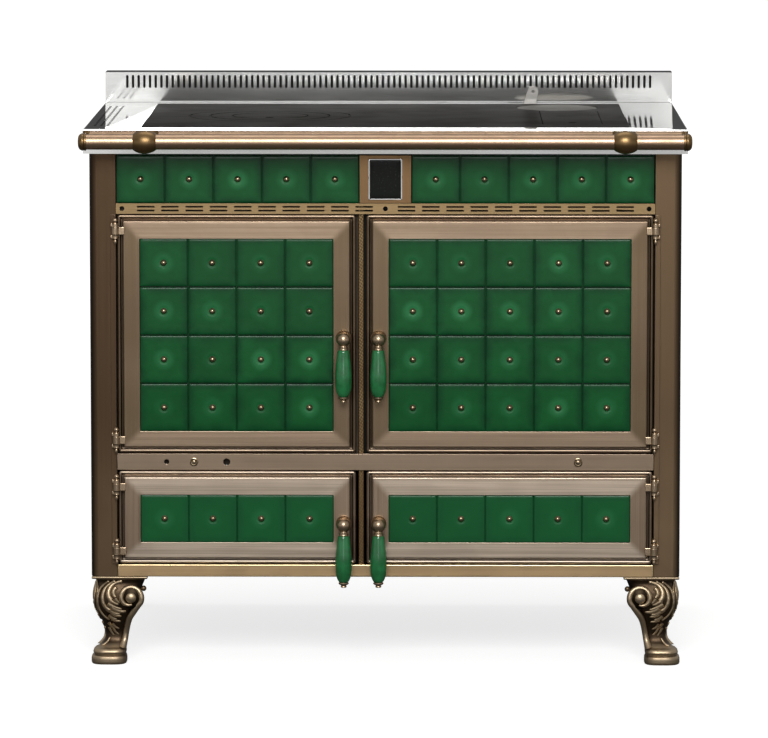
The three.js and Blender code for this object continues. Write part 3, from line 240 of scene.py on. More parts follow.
class Tree:
    """A node tree that nodes are added to by type."""

    def __init__(self, nodes):
        self.nodes = nodes
        self.nodes.nodes.clear()

    def node(self, kind, settings=None, values=(), output=0):
        """Adds a node, with its settings first and then its sockets, and gives one output."""
        node = self.nodes.nodes.new(kind)
        for name, value in (settings or {}).items():
            setattr(node, name, value)
        pairs = values.items() if isinstance(values, dict) else enumerate(values)
        for name, value in pairs:
            self.feed(node.inputs[name], value)
        return Value(self, node.outputs[output]) if len(node.outputs) else node

    def feed(self, socket, value):
        if isinstance(value, Value):
            self.nodes.links.new(value.output, socket)
        else:
            socket.default_value = value

    def mix(self, share, first, second):
        """A colour between two colours."""
        return self.node("ShaderNodeMix", {"data_type": "RGBA"}, {0: share, 6: first, 7: second}, 2)

    def place(self):
        """The point on the stove, in metres."""
        return self.node("ShaderNodeTexCoord", output="Object")

    def stretched(self, place, factors):
        return self.node("ShaderNodeVectorMath", {"operation": "MULTIPLY"}, [place, factors])

    def parts(self, vector):
        split = self.node("ShaderNodeSeparateXYZ", values=[vector])
        return [Value(self, socket) for socket in split.output.node.outputs]

    def noise(self, place, scale, detail=3.0, roughness=0.5, distortion=0.0):
        values = {
            "Vector": place, "Scale": scale, "Detail": detail, "Roughness": roughness,
            "Distortion": distortion,
        }
        return self.node("ShaderNodeTexNoise", None, values)

    def attribute(self, name):
        return self.node("ShaderNodeAttribute", {"attribute_name": name}, output="Fac")

    def ray(self, kind):
        """1 for rays of a kind, such as those that the camera sends."""
        return self.node("ShaderNodeLightPath", output=f"Is {kind} Ray")


class Finish(Tree):
    """A material round one Principled shader."""

    def __init__(self, name):
        self.material = bpy.data.materials.new(name)
        self.material.use_nodes = True
        super().__init__(self.material.node_tree)
        self.shader = self.nodes.nodes.new("ShaderNodeBsdfPrincipled")
        output = self.nodes.nodes.new("ShaderNodeOutputMaterial")
        self.nodes.links.new(self.shader.outputs[0], output.inputs["Surface"])

    @classmethod
    def of(cls, material):
        """The same tools for a material that has been made."""
        finish = cls.__new__(cls)
        finish.material = material
        finish.nodes = material.node_tree
        finish.shader = next(n for n in finish.nodes.nodes if n.bl_idname == "ShaderNodeBsdfPrincipled")
        return finish

    def set(self, **values):
        """Sets the shader's sockets, such as base_color or roughness."""
        for name, value in values.items():
            self.feed(self.shader.inputs[name.replace("_", " ").title().replace("Ior", "IOR")], value)

    def bump(self, height, distance, strength=1.0):
        values = {"Strength": strength, "Distance": distance, "Height": height}
        self.set(normal=self.node("ShaderNodeBump", None, values, "Normal"))


def scaled(tone, share, lift=0.0):
    """A colour made darker or lighter."""
    return [min(1.0, share * part + lift) for part in tone[:3]] + [1.0]


def brush_marks(finish, place, grain):
    """Fine parallel scratches, 0 to 1. The grain is the direction that they run in."""
    fine = {"x": (5, 300, 900), "z": (900, 300, 5)}[grain]
    broad = {"x": (1.5, 60, 160), "z": (160, 60, 1.5)}[grain]
    scratches = finish.noise(finish.stretched(place, fine), 1.0, 2.0, 0.6)
    bands = finish.noise(finish.stretched(place, broad), 1.0, 3.0, 0.6)
    return scratches * 0.45 + bands * 0.55


def brushed_metal(name, tone, grain, roughness, contrast=0.5, patina=0.35):
    """Brushed metal with a mottled patina, and edges made bright: partly wear, partly a painted highlight."""
    finish = Finish(name)
    place = finish.place()
    marks = brush_marks(finish, place, grain)
    mottle = finish.noise(place, 16.0, 6.0, 0.62, 0.6)
    blotch = mottle.fade(0.36, 0.66)
    base = finish.mix(blotch * patina, list(tone), scaled(tone, 0.62))
    base = finish.mix(marks.fade(0.3, 0.7) * contrast, scaled(tone, 0.72), base)
    # Bevelled edges are lightened: partly wear, partly a painted highlight.
    worn = finish.attribute("worn")
    base = finish.mix(worn * 0.6, base, scaled(tone, 1.55, 0.05))
    finish.set(
        base_color=base, metallic=1.0,
        roughness=roughness + (marks - 0.5) * 0.18 + blotch * 0.08 - worn * 0.08,
    )
    finish.bump(marks, 0.0002, 0.25)
    return finish.material


def turned_metal(name, tone, roughness):
    """Polished turned metal with a thin, cloudy patina."""
    finish = Finish(name)
    place = finish.place()
    cloud = finish.noise(place, 34.0, 5.0, 0.6, 0.5).fade(0.3, 0.7)
    spots = finish.noise(place, 180.0, 3.0, 0.6).fade(0.6, 0.72)
    base = finish.mix(cloud * 0.4, list(tone), scaled(tone, 0.66))
    base = finish.mix(spots * 0.35, base, scaled(tone, 0.4))
    # Edges marked in the wear layer are lightened: partly wear, partly a painted highlight.
    worn = finish.attribute("worn")
    base = finish.mix(worn * 0.5, base, scaled(tone, 1.5, 0.04))
    finish.set(base_color=base, metallic=1.0, roughness=roughness + cloud * 0.06 + spots * 0.1)
    finish.bump(finish.noise(place, 900.0, 2.0), 0.0001, 0.2)
    return finish.material


def column_bronze(looks):
    """Dark brushed bronze, with painted shade that falls off to black round the outer edge of each column,
    and painted light lower down and towards the right.
    """
    material = brushed_metal("column bronze", looks.column_bronze, "z", 0.4, 0.5, 0.35)
    finish = Finish.of(material)
    across, ahead, up = finish.parts(finish.place())
    # Painted shade: the outer edge of each column's front is darkened to near black.
    edge = abs(across).fade(0.4575, 0.4655) * ahead.fade(-0.245, -0.262)
    base = Value(finish, finish.shader.inputs["Base Color"].links[0].from_socket)
    # Painted light: the columns are lightened lower down and towards the right-hand side.
    painted_light_low_right = up.fade(0.42, 0.2) * 0.12 + across.fade(0.0, 0.4) * 0.12
    base = finish.mix(painted_light_low_right, base, linear("c6a984"))
    finish.set(base_color=finish.mix(edge * 0.85, base, linear("120d09")))
    return material


def rope_bronze(looks):
    """The fine hammered texture of the centre post."""
    finish = Finish("rope bronze")
    place = finish.place()
    across, _, up = finish.parts(place)
    wobble = finish.noise(place, 110.0, 3.0) * 4.0
    twist = (up * 1300.0 + across * 900.0 + wobble).sine()
    beads = (up * 800.0 - across * 1500.0 + wobble).sine()
    relief = twist * 0.25 + beads * 0.25 + 0.5
    base = finish.mix(relief, linear("463725"), list(looks.post_bronze))
    base = finish.mix(finish.noise(place, 25.0, 4.0).fade(0.4, 0.7) * 0.5, base, linear("5d4229"))
    finish.set(base_color=base, metallic=0.9, roughness=0.5 - relief * 0.06)
    finish.bump(relief, 0.0006, 0.5)
    return finish.material


def door_bronze(looks):
    """Bronze brushed along the rails and along the stiles, meeting at a mitre."""
    finish = Finish("door bronze")
    place = finish.place()
    rail = finish.attribute("mitre").fade(-0.35, 0.35)
    along = brush_marks(finish, place, "x")
    upright = brush_marks(finish, place, "z")
    marks = along * rail + upright * (1 - rail)
    mottle = finish.noise(place, 14.0, 6.0, 0.62, 0.8)
    blotch = mottle.fade(0.38, 0.68)
    drift = finish.noise(finish.stretched(place, (3.0, 1.0, 9.0)), 1.0, 2.0).fade(0.3, 0.7)
    # Painted light: rails and stiles are lighter on the doors low down.
    painted_light_below = finish.parts(place)[2].fade(0.36, 0.28)
    rails = finish.mix(blotch * 0.35, list(looks.rail_bronze), linear("8c7669"))
    rails = finish.mix(drift * 0.35, rails, linear("c0a68c"))
    # Painted reflection: the stiles take a darker tone than the rails.
    stiles = finish.mix(blotch * 0.4, list(looks.stile_bronze), linear("6c5c50"))
    stiles = finish.mix(drift * 0.3, stiles, linear("94806a"))
    stiles = finish.mix(painted_light_below * 0.7, stiles, linear("ab9682"))
    rails = finish.mix(painted_light_below * 0.8, rails, linear("e2d1be"))
    base = finish.mix(rail, stiles, rails)
    base = finish.mix(marks.fade(0.28, 0.72) * 0.5 + 0.5, linear("66543f"), base)
    # Wear above 0 lightens, wear with a painted highlight; below 0 it paints shade on the bead and in the
    # groove.
    worn = finish.attribute("worn")
    base = finish.mix(worn.larger(0.0) * (0.25 + 0.75 * rail), base, linear("cfbaa2"))
    base = finish.mix((worn * -1.0).larger(0.0), base, linear("1c1610"))
    finish.set(
        base_color=base, metallic=1.0,
        roughness=0.36 + (marks - 0.5) * 0.16 + blotch * 0.07 - worn.larger(0.0) * 0.03,
    )
    finish.bump(marks, 0.0002, 0.25)
    return finish.material


def green_glaze(looks):
    """Pooled glaze: lighter in a soft square round the stud and darker towards the edges."""
    finish = Finish("green glaze")
    place = finish.place()
    across, up, _ = finish.parts(finish.node("ShaderNodeUVMap", {"uv_map": "tile"}))
    wave = (finish.noise(place, 45.0, 2.0) - 0.5) * 0.16
    side = abs(across - 0.5)
    rise = abs(up - 0.5)
    edge = 0.5 - side.larger(rise) + wave * 0.5
    radius = (side * side + rise * rise) ** 0.5
    cloud = finish.noise(place, 30.0, 4.0, 0.6)
    tone = finish.attribute("tone")
    base = finish.mix(edge.fade(0.0, 0.2), list(looks.glaze_edge), list(looks.glaze))
    base = finish.mix(cloud.fade(0.35, 0.75) * 0.4, base, linear("125a2c"))
    halo = (radius + wave * 0.35).fade(0.27, 0.1) * (0.22 + tone * 0.5)
    base = finish.mix(halo, base, linear("2a7044"))
    base = finish.mix((1 - tone) * 0.4, base, linear("083c1b"))
    # Painted light: the tiles low down are lighter.
    base = finish.mix(finish.parts(place)[2].fade(0.36, 0.28) * 0.6, base, linear("1c5430"))
    finish.set(base_color=base, roughness=0.1 + cloud * 0.06, specular_ior_level=0.2)
    ripple = finish.noise(place, 60.0, 2.0) * 0.3
    dimple = radius.fade(0.075, 0.125)
    finish.bump(ripple + dimple * 0.4, 0.0012, 0.5)
    return finish.material


def grip_glaze(looks):
    """The same glaze on the turned grips."""
    finish = Finish("grip glaze")
    cloud = finish.noise(finish.place(), 70.0, 3.0)
    base = finish.mix(cloud.fade(0.3, 0.7), list(looks.grip_glaze), linear("186838"))
    finish.set(
        base_color=base, roughness=0.5, specular_ior_level=0.1,
        coat_weight=1.0, coat_roughness=0.16, coat_ior=1.55,
    )
    finish.bump(cloud, 0.0002, 0.08)
    return finish.material


def cast_bronze(looks):
    """A patinated casting, dark in the hollows and polished bright on the high spots; painted light near the
    floor and on faces turned to the front, painted shade behind the scroll.
    """
    finish = Finish("cast bronze")
    place = finish.place()
    mottle = finish.noise(place, 60.0, 6.0, 0.65)
    pointed = finish.node("ShaderNodeNewGeometry", output="Pointiness")
    high = pointed.fade(0.5, 0.6)
    low = pointed.fade(0.5, 0.42)
    # Painted light: the foot is lighter near the floor.
    foot = finish.parts(place)[2].fade(0.034, 0.026)
    worn = finish.attribute("worn")
    base = finish.mix(mottle.fade(0.35, 0.7) * 0.7, list(looks.casting), linear("32281e"))
    base = finish.mix(foot * 0.75, base, linear("b8a488"))
    # Faces marked in the wear layer are lightened, polish with a painted highlight, and those below 0 are
    # painted with shade.
    base = finish.mix(worn.larger(0.0) * 0.8, base, linear("c6b294"))
    base = finish.mix(high * 0.5, base, linear("b49a78"))
    base = finish.mix(low.larger(worn * -1.0) * 0.9, base, linear("0e0a07"))
    finish.set(base_color=base, metallic=1.0, roughness=0.34 + mottle * 0.16 + low * 0.2)
    finish.bump(finish.noise(place, 350.0, 3.0), 0.0003, 0.3)
    return finish.material


def iron(name, tone, roughness, streaks, spots=0.3, edge_tint=1.0, rim=2.6):
    """Ground or cast iron with faint streaks of the grinding and darker stains."""
    finish = Finish(name)
    place = finish.place()
    grinding = brush_marks(finish, place, "x")
    stains = finish.noise(place, 9.0, 6.0, 0.62, 0.5).fade(0.35, 0.7)
    base = finish.mix(stains * spots, list(tone), scaled(tone, 0.6))
    base = finish.mix(grinding.fade(0.3, 0.7) * streaks, base, scaled(tone, 1.5))
    # Edges in the wear layer are lightened: ground bright, and a painted highlight.
    worn = finish.attribute("worn")
    base = finish.mix(worn * 0.8, base, scaled(tone, rim))
    finish.set(
        base_color=base, metallic=1.0, roughness=roughness + (grinding - 0.5) * 0.2 + stains * 0.08,
        specular_tint=(edge_tint, edge_tint, edge_tint, 1.0),
    )
    finish.bump(finish.noise(place, 500.0, 3.0) + grinding, 0.0002, 0.3)
    return finish.material


def stainless(name, tone, roughness):
    """Polished sheet steel, brushed from side to side and smeared a little."""
    finish = Finish(name)
    place = finish.place()
    marks = brush_marks(finish, place, "x")
    smear = finish.noise(place, 6.0, 4.0, 0.6).fade(0.3, 0.7)
    base = finish.mix(marks.fade(0.3, 0.7) * 0.3, list(tone), scaled(tone, 0.8))
    # Edges in the wear layer are lightened: polish, and a painted highlight.
    worn = finish.attribute("worn")
    base = finish.mix(worn * 0.5, base, linear("f4f4f2"))
    finish.set(base_color=base, metallic=1.0, roughness=roughness + marks * 0.02 + smear * 0.02)
    finish.bump(marks, 0.00005, 0.05)
    return finish.material


def black_enamel(looks):
    """Black enamel with fine pale specks."""
    finish = Finish("black enamel")
    speck = finish.noise(finish.place(), 400.0, 2.0).fade(0.62, 0.72)
    base = finish.mix(speck * 0.5, list(looks.enamel), linear("34362f"))
    finish.set(base_color=base, roughness=0.2 + speck * 0.1, specular_ior_level=0.06)
    finish.bump(finish.noise(finish.place(), 120.0, 2.0), 0.0002, 0.15)
    return finish.material


def joint_shadow(_):
    """The dark, gritty ground of the joints, and painted shade on the walls of slots and behind them."""
    finish = Finish("joint shadow")
    grit = finish.noise(finish.place(), 900.0, 3.0)
    finish.set(base_color=finish.mix(grit, linear("0b0907"), linear("171310")), roughness=0.9)
    return finish.material


# Finishes of a common kind: how each is made, of which colour and with what other values
COMMON_FINISHES = {
    "strip bronze": (brushed_metal, "rail_bronze", "x", 0.36),
    "gilt bronze": (brushed_metal, "gilt", "x", 0.34, 0.45, 0.3),
    # A lighter copy of the gilt: painted light on the lowest strip.
    "base bronze": (brushed_metal, "base_bronze", "x", 0.34, 0.45, 0.3),
    "plaque bronze": (brushed_metal, "plaque_bronze", "z", 0.36, 0.5, 0.5),
    "rail bronze": (turned_metal, "turned_bronze", 0.32),
    "ball bronze": (turned_metal, "ball_bronze", 0.34),
    "handle bronze": (turned_metal, "handle_bronze", 0.3),
    "stud bronze": (turned_metal, "stud_bronze", 0.22),
    "steel top": (stainless, "steel", 0.04),
    "steel splash": (stainless, "steel", 0.06),
    "hob iron": (iron, "hob_iron", 0.34, 0.35, 0.3, 0.13, 0.1),
    "cover iron": (iron, "ground_iron", 0.34, 0.4, 0.3, 0.14),
    "ground iron": (iron, "ground_iron", 0.3, 0.4, 0.2),
    "fire iron": (iron, "fire_iron", 0.6, 0.2, 0.6),
    "zinc": (iron, "zinc", 0.45, 0.15, 0.4),
}
OTHER_FINISHES = {
    "door bronze": door_bronze,
    "column bronze": column_bronze,
    "rope bronze": rope_bronze,
    "cast bronze": cast_bronze,
    "green glaze": green_glaze,
    "grip glaze": grip_glaze,
    "black enamel": black_enamel,
    "joint shadow": joint_shadow,
}


def finish_named(name):
    """The material of that name, made when it is first asked for."""
    looks = bpy.context.scene.cookstove_finishes
    made = bpy.data.materials.get(name)
    if made:
        return made
    if name in OTHER_FINISHES:
        return OTHER_FINISHES[name](looks)
    make, tone, *values = COMMON_FINISHES[name]
    return make(name, getattr(looks, tone), *values)


# ---------------------------------------------------------------- shaping


def layer(bm, name):
    """A number for each face, such as its wear and painted light."""
    return bm.faces.layers.float.get(name) or bm.faces.layers.float.new(name)


def all_wear_and_painted_light(bm, share):
    """Marks every face with wear and a painted highlight, or with painted shade where the share is below 0.
    """
    worn = layer(bm, "worn")
    for face in bm.faces:
        face[worn] = share


def merged(node):
    """A copy of a CAD node in millimetres, with its loose triangles joined into flat faces."""
    bm = bmesh.new()
    bm.from_mesh(frame["nodes"][node].data)
    bmesh.ops.scale(bm, vec=(1 / MM,) * 3, verts=bm.verts)
    bmesh.ops.remove_doubles(bm, verts=bm.verts, dist=0.01)
    angle = math.radians(1)
    bmesh.ops.dissolve_limit(bm, angle_limit=angle, verts=bm.verts, edges=bm.edges)
    return bm


def sharp(bm, angle=35):
    """The edges that stand out by more than an angle."""
    limit = math.radians(angle)
    return [e for e in bm.edges if e.is_manifold and e.calc_face_angle_signed(0) > limit]


def soften(bm, width, segments=2, edges=None):
    """Rounds edges and marks the new faces for wear and a painted highlight."""
    worn = layer(bm, "worn")
    made = bmesh.ops.bevel(
        bm, geom=sharp(bm) if edges is None else edges, offset=width, offset_type="OFFSET",
        segments=segments, profile=0.5, affect="EDGES", clamp_overlap=True, material=-1,
        face_strength_mode="ALL",
    )
    for face in made["faces"]:
        face[worn] = 1.0


def round_holes(bm, axis, thickness, radius, segments=4):
    """Rounds the corners of slots cut through a sheet of that thickness, square to an axis."""
    index = "xyz".index(axis)
    edges = []
    for edge in bm.edges:
        run = edge.verts[1].co - edge.verts[0].co
        if abs(abs(run[index]) - thickness) < 0.05 and abs(run.length - thickness) < 0.05:
            if edge.is_manifold and edge.calc_face_angle(0) > math.radians(60):
                edges.append(edge)
    bmesh.ops.bevel(
        bm, geom=edges, offset=radius, offset_type="OFFSET", segments=segments, profile=0.5,
        affect="EDGES", clamp_overlap=True, material=-1,
    )


def dark_holes(bm, axis, low, high):
    """Gives the walls of holes cut square to an axis the second material, which paints shade on them."""
    index = "xyz".index(axis)
    for face in bm.faces:
        middle = face.calc_center_median()
        rim = any(
            min(middle[i] - low[i], high[i] - middle[i]) < 0.6 for i in range(3) if i != index
        )
        if abs(face.normal[index]) < 0.3 and not rim:
            face.material_index = 1


def block(low, high):
    """A box between two corners."""
    bm = bmesh.new()
    bmesh.ops.create_cube(bm, size=1)
    size = Vector(high) - Vector(low)
    bmesh.ops.scale(bm, vec=size, verts=bm.verts)
    bmesh.ops.translate(bm, vec=(Vector(low) + Vector(high)) / 2, verts=bm.verts)
    return bm


AXES = {
    "z": Matrix.Identity(4),
    "y": Matrix.Rotation(math.radians(-90), 4, "X"),
    "x": Matrix.Rotation(math.radians(90), 4, "Y"),
}


def turned(profile, axis, place, steps=None):
    """Turns a profile of (radius, distance along the axis) about an axis through a place."""
    steps = steps or bpy.context.scene.cookstove_sizes.turning_steps
    bm = bmesh.new()
    corners = [bm.verts.new((radius, 0, along)) for radius, along in profile]
    edges = [bm.edges.new(pair) for pair in zip(corners, corners[1:])]
    bmesh.ops.spin(
        bm, geom=corners + edges, cent=(0, 0, 0), axis=(0, 0, 1), angle=2 * math.pi, steps=steps,
        use_merge=True,
    )
    bmesh.ops.remove_doubles(bm, verts=bm.verts, dist=0.005)
    bmesh.ops.transform(bm, matrix=Matrix.Translation(place) @ AXES[axis], verts=bm.verts)
    bmesh.ops.recalc_face_normals(bm, faces=bm.faces)
    return bm


def arc(centre, radius, start, end, steps, squash=1.0):
    """Points of a profile on a circle. Angles start at the axis's own direction."""
    points = []
    for i in range(steps + 1):
        angle = math.radians(start + (end - start) * i / steps)
        points.append((
            centre[0] + radius * math.sin(angle), centre[1] + squash * radius * math.cos(angle),
        ))
    return points


def together(*shapes):
    """Several closed shapes in one mesh."""
    bm = shapes[0]
    for shape in shapes[1:]:
        mesh = bpy.data.meshes.new("part")
        shape.to_mesh(mesh)
        shape.free()
        bm.from_mesh(mesh)
        bpy.data.meshes.remove(mesh)
    return bm


def loop(bm, points):
    """A closed loop of edges through points."""
    corners = [bm.verts.new(point) for point in points]
    return [bm.edges.new(pair) for pair in zip(corners, corners[1:] + corners[:1])]


def skin(bm, loops, wear=None):
    """Bridges each loop to the next one, and closes the first and the last."""
    worn = layer(bm, "worn")
    for i, pair in enumerate(zip(loops, loops[1:])):
        made = bmesh.ops.bridge_loops(bm, edges=pair[0] + pair[1])
        for face in made["faces"]:
            face[worn] = wear[i] if wear else 0.0
    bmesh.ops.contextual_create(bm, geom=loops[0])
    bmesh.ops.contextual_create(bm, geom=loops[-1])
    bmesh.ops.recalc_face_normals(bm, faces=bm.faces)
    return bm


def repeated(bm, places, tones=None):
    """Copies a shape to each place, and takes the first one away."""
    tone = layer(bm, "tone")
    first = bm.verts[:] + bm.edges[:] + bm.faces[:]
    for place in places:
        made = bmesh.ops.duplicate(bm, geom=first)["geom"]
        corners = [item for item in made if isinstance(item, bmesh.types.BMVert)]
        bmesh.ops.translate(bm, vec=place, verts=corners)
        if tones:
            share = tones.random()
            for item in made:
                if isinstance(item, bmesh.types.BMFace):
                    item[tone] = share
    start = [item for item in first if isinstance(item, bmesh.types.BMVert)]
    bmesh.ops.delete(bm, geom=start, context="VERTS")
    return bm


def mirrored(bm):
    """Turns a left-hand shape into the right-hand one."""
    bmesh.ops.scale(bm, vec=(-1, 1, 1), verts=bm.verts)
    bmesh.ops.reverse_faces(bm, faces=bm.faces)
    return bm


def linked(name, data):
    """A new object in the scene."""
    made = bpy.data.objects.new(name, data)
    bpy.context.scene.collection.objects.link(made)
    return made


def piece(bm, name, body, finishes, replaces=(), smooth=38, flats=False):
    """Makes an object of a shape. It rides on a body and stands for the named CAD nodes.

    With flats, the large faces stay flat next to their rounded edges.
    """
    old = bpy.data.objects.get(name)
    if old and "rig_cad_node" not in old:
        bpy.data.objects.remove(old)
    bmesh.ops.scale(bm, vec=(MM, MM, MM), verts=bm.verts)
    worn = layer(bm, "worn")
    bm.edges.index_update()
    rims = [e.index for e in bm.edges if flats and len({f[worn] == 1 for f in e.link_faces}) == 2]
    mesh = bpy.data.meshes.new(name)
    bm.to_mesh(mesh)
    bm.free()
    mesh.shade_smooth()
    mesh.set_sharp_from_angle(angle=math.radians(smooth))
    for rim in rims:
        mesh.edges[rim].use_edge_sharp = True
    for finish in [finishes] if isinstance(finishes, str) else finishes:
        mesh.materials.append(finish_named(finish))
    made = linked(name, mesh)
    if flats:
        weighted = made.modifiers.new("flat faces", "WEIGHTED_NORMAL")
        weighted.keep_sharp = True
        weighted.use_face_influence = True
    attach(made, body)
    if replaces:
        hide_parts(*replaces)
    return made


def dressed(node, body, finish, width, segments=2):
    """Stands for a CAD node with the same shape, its edges rounded."""
    bm = merged(node)
    soften(bm, width, segments)
    return piece(bm, node + "_dressed", body, finish, [node], flats=True)


# ---------------------------------------------------------------- carcass


class COOKSTOVE_OT_carcass(bpy.types.Operator):
    """Columns, side, back and base sheets, and the strips between the doors"""

    bl_idname = "cookstove.carcass"
    bl_label = "Carcass"

    def execute(self, context):
        edge = context.scene.cookstove_sizes.sheet_edge / MM
        for side in ("left", "right"):
            dressed(f"side_panel_{side}", "root", "column bronze", edge)
        dressed("centre_post", "root", "rope bronze", 1.6, 3)
        dressed("bottom_rail", "root", "base bronze", 2 * edge, 3)
        for node in ("back_panel", "floor_pan", "mid_shelf"):
            dressed(node, "root", "zinc", edge)
        self.strips(edge)
        return {"FINISHED"}

    def strips(self, edge):
        vents = merged("vent_strip")
        low, high = span("vent_strip")
        round_holes(vents, "y", high.y - low.y, 1.3)
        # Painted shade on the walls of the slots.
        dark_holes(vents, "y", low, high)
        outer = [
            e for e in sharp(vents)
            if any(all(abs(v.co.z - z) < 0.1 for v in e.verts) for z in (low.z, high.z))
        ]
        soften(vents, 0.6, 3, outer)
        finishes = ["gilt bronze", "joint shadow"]
        piece(vents, "vent_strip_dressed", "root", finishes, ["vent_strip"], flats=True)
        controls = merged("control_strip")
        low, high = span("control_strip")
        # Painted shade on the walls of the holes.
        dark_holes(controls, "y", low, high)
        finishes = ["strip bronze", "joint shadow"]
        soften(controls, edge)
        piece(
            controls, "control_strip_dressed", "root", finishes, ["control_strip"],
            flats=True,
        )
        for name, x, radius in (
            ("button_left", low.x + 121.5, 5.0), ("button_right", high.x - 119.5, 5.5),
        ):
            profile = [
                (0, 0.6), (radius + 1.4, 0.6), (radius + 1.4, -0.3), (radius + 0.5, -0.6),
                (radius, -0.2), (radius - 0.4, -1.6),
            ] + arc((0, -1.2), radius - 1.4, 80, 0, 6, -0.45)
            button = turned(profile, "y", (x, low.y, (low.z + high.z) / 2), 32)
            piece(button, name, "root", "stud bronze", (), 50)


# ---------------------------------------------------------------- tiles


# Lines across a tile from its edge to the middle, and how far the glaze drops at each, of 1
TILE_GRID = (0, 0.35, 0.9, 1.8, 3.2, 6, 14, 25, 37.5)
TILE_DROP = (1.0, 0.5, 0.22, 0.08, 0.02, 0, 0, 0, 0)


def tile_shape(edge_drop, size, depth):
    """One tile round the origin, its face at y = 0, with a UV map across the face."""
    lines = list(TILE_GRID) + [size - line for line in TILE_GRID[-2::-1]]
    drops = list(TILE_DROP) + list(TILE_DROP[-2::-1])
    cells = len(lines) - 1
    bm = bmesh.new()
    bmesh.ops.create_grid(bm, x_segments=cells, y_segments=cells, size=1)
    for corner in bm.verts:
        column = round((corner.co.x + 1) / 2 * cells)
        row = round((corner.co.y + 1) / 2 * cells)
        drop = min(1.0, math.hypot(drops[column], drops[row]))
        corner.co = (lines[column] - size / 2, edge_drop * drop, lines[row] - size / 2)
    rim = [e for e in bm.edges if e.is_boundary]
    made = bmesh.ops.extrude_edge_only(bm, edges=rim)["geom"]
    for item in made:
        if isinstance(item, bmesh.types.BMVert):
            item.co.y = depth
    bmesh.ops.contextual_create(bm, geom=[e for e in bm.edges if e.is_boundary])
    bmesh.ops.recalc_face_normals(bm, faces=bm.faces)
    across = bm.loops.layers.uv.new("tile")
    for face in bm.faces:
        for corner in face.loops:
            place = corner.vert.co
            corner[across].uv = (place.x / size + 0.5, place.z / size + 0.5)
    return bm


class COOKSTOVE_OT_tiles(bpy.types.Operator):
    """Glazed tiles and their studs in the doors and the frieze"""

    bl_idname = "cookstove.tiles"
    bl_label = "Tiles"

    def execute(self, context):
        sizes = context.scene.cookstove_sizes
        chance = random.Random(11)
        for node, body, columns, rows in (
            ("frieze_tiles_left", "root", 5, 1), ("frieze_tiles_right", "root", 5, 1),
            ("firebox_door_tiles", "firebox_door", 4, 4), ("oven_door_tiles", "oven_door", 5, 4),
            ("ash_door_tiles", "ash_door", 4, 1), ("store_door_tiles", "store_door", 5, 1),
        ):
            self.panel(node, body, columns, rows, sizes, chance)
        return {"FINISHED"}

    def panel(self, node, body, columns, rows, sizes, chance):
        """Rows of tiles on a backing sheet, each with a stud."""
        low, high = span(node)
        size, pitch, depth, stud_height = 75.0, 76.5, 6.0, 4.2
        face = low.y + stud_height
        places = [
            Vector((low.x + size / 2 + column * pitch, face, low.z + size / 2 + row * pitch))
            for row in range(rows) for column in range(columns)
        ]
        tiles = repeated(tile_shape(sizes.tile_edge / MM, size, depth), places, chance)
        count = len(tiles.faces)
        together(tiles, block((low.x, face + depth - 0.2, low.z), (high.x, high.y, high.z)))
        tiles.faces.ensure_lookup_table()
        for backing in tiles.faces[count:]:
            backing.material_index = 1
        finishes = ["green glaze", "joint shadow"]
        piece(tiles, node + "_glazed", body, finishes, [node], 60)
        radius = sizes.stud_diameter / MM / 2
        profile = [(0, 1.0), (radius, 1.0), (radius, -0.5), (radius - 0.5, -1.1)]
        profile += arc((0, -1.0), radius - 1.0, 80, 0, 6, -0.85)
        studs = repeated(turned(profile, "y", (0, 0, 0), 18), places)
        piece(studs, node + "_studs", body, "stud bronze", (), 50)


# ---------------------------------------------------------------- plaque


class COOKSTOVE_OT_plaque(bpy.types.Operator):
    """The block in the middle of the frieze with its bare enamel plate in a bright rim"""

    bl_idname = "cookstove.plaque"
    bl_label = "Plaque"

    def execute(self, context):
        dressed("plaque_block", "root", "plaque bronze", 0.8, 3)
        low, high = span("plaque_plate")
        rim = bmesh.new()
        top = low.y
        steps = ((0, high.y), (0, top + 0.7), (0.7, top), (1.5, top), (2.1, top + 0.8), (2.1, top + 1.2))
        # The rim's rounded lip is marked bright: polish and a painted highlight.
        skin(rim, rings(rim, low, high, steps, 1.5), [0, 1, 1, 0.5, 0])
        piece(rim, "plaque_rim", "root", "steel top", ["plaque_plate"])
        plate = bmesh.new()
        steps = ((2.2, top + 1.1), (2.3, top + 0.7), (3.2, top + 0.35), (8, top + 0.2))
        skin(plate, rings(plate, low, high, steps, 1.0))
        piece(plate, "plaque_face", "root", "black enamel")
        return {"FINISHED"}


def rounded_rectangle(x0, x1, z0, z1, radius, y):
    """Points round a rectangle that faces the front, with one in the middle of each side."""
    steps = 4
    middle_x, middle_z = (x0 + x1) / 2, (z0 + z1) / 2
    points = []
    for x, z, start, middle in (
        (x1 - radius, z1 - radius, 0, (middle_x, y, z1)),
        (x0 + radius, z1 - radius, 90, (x0, y, middle_z)),
        (x0 + radius, z0 + radius, 180, (middle_x, y, z0)),
        (x1 - radius, z0 + radius, 270, (x1, y, middle_z)),
    ):
        for i in range(steps + 1):
            angle = math.radians(start + 90 * i / steps)
            points.append((x + radius * math.cos(angle), y, z + radius * math.sin(angle)))
        points.append(middle)
    return points


def rings(bm, low, high, steps, radius):
    """Loops round the front of a box, one for each (inset, depth)."""
    return [
        loop(bm, rounded_rectangle(low.x + i, high.x - i, low.z + i, high.z - i, radius, y))
        for i, y in steps
    ]


# ---------------------------------------------------------------- worktop


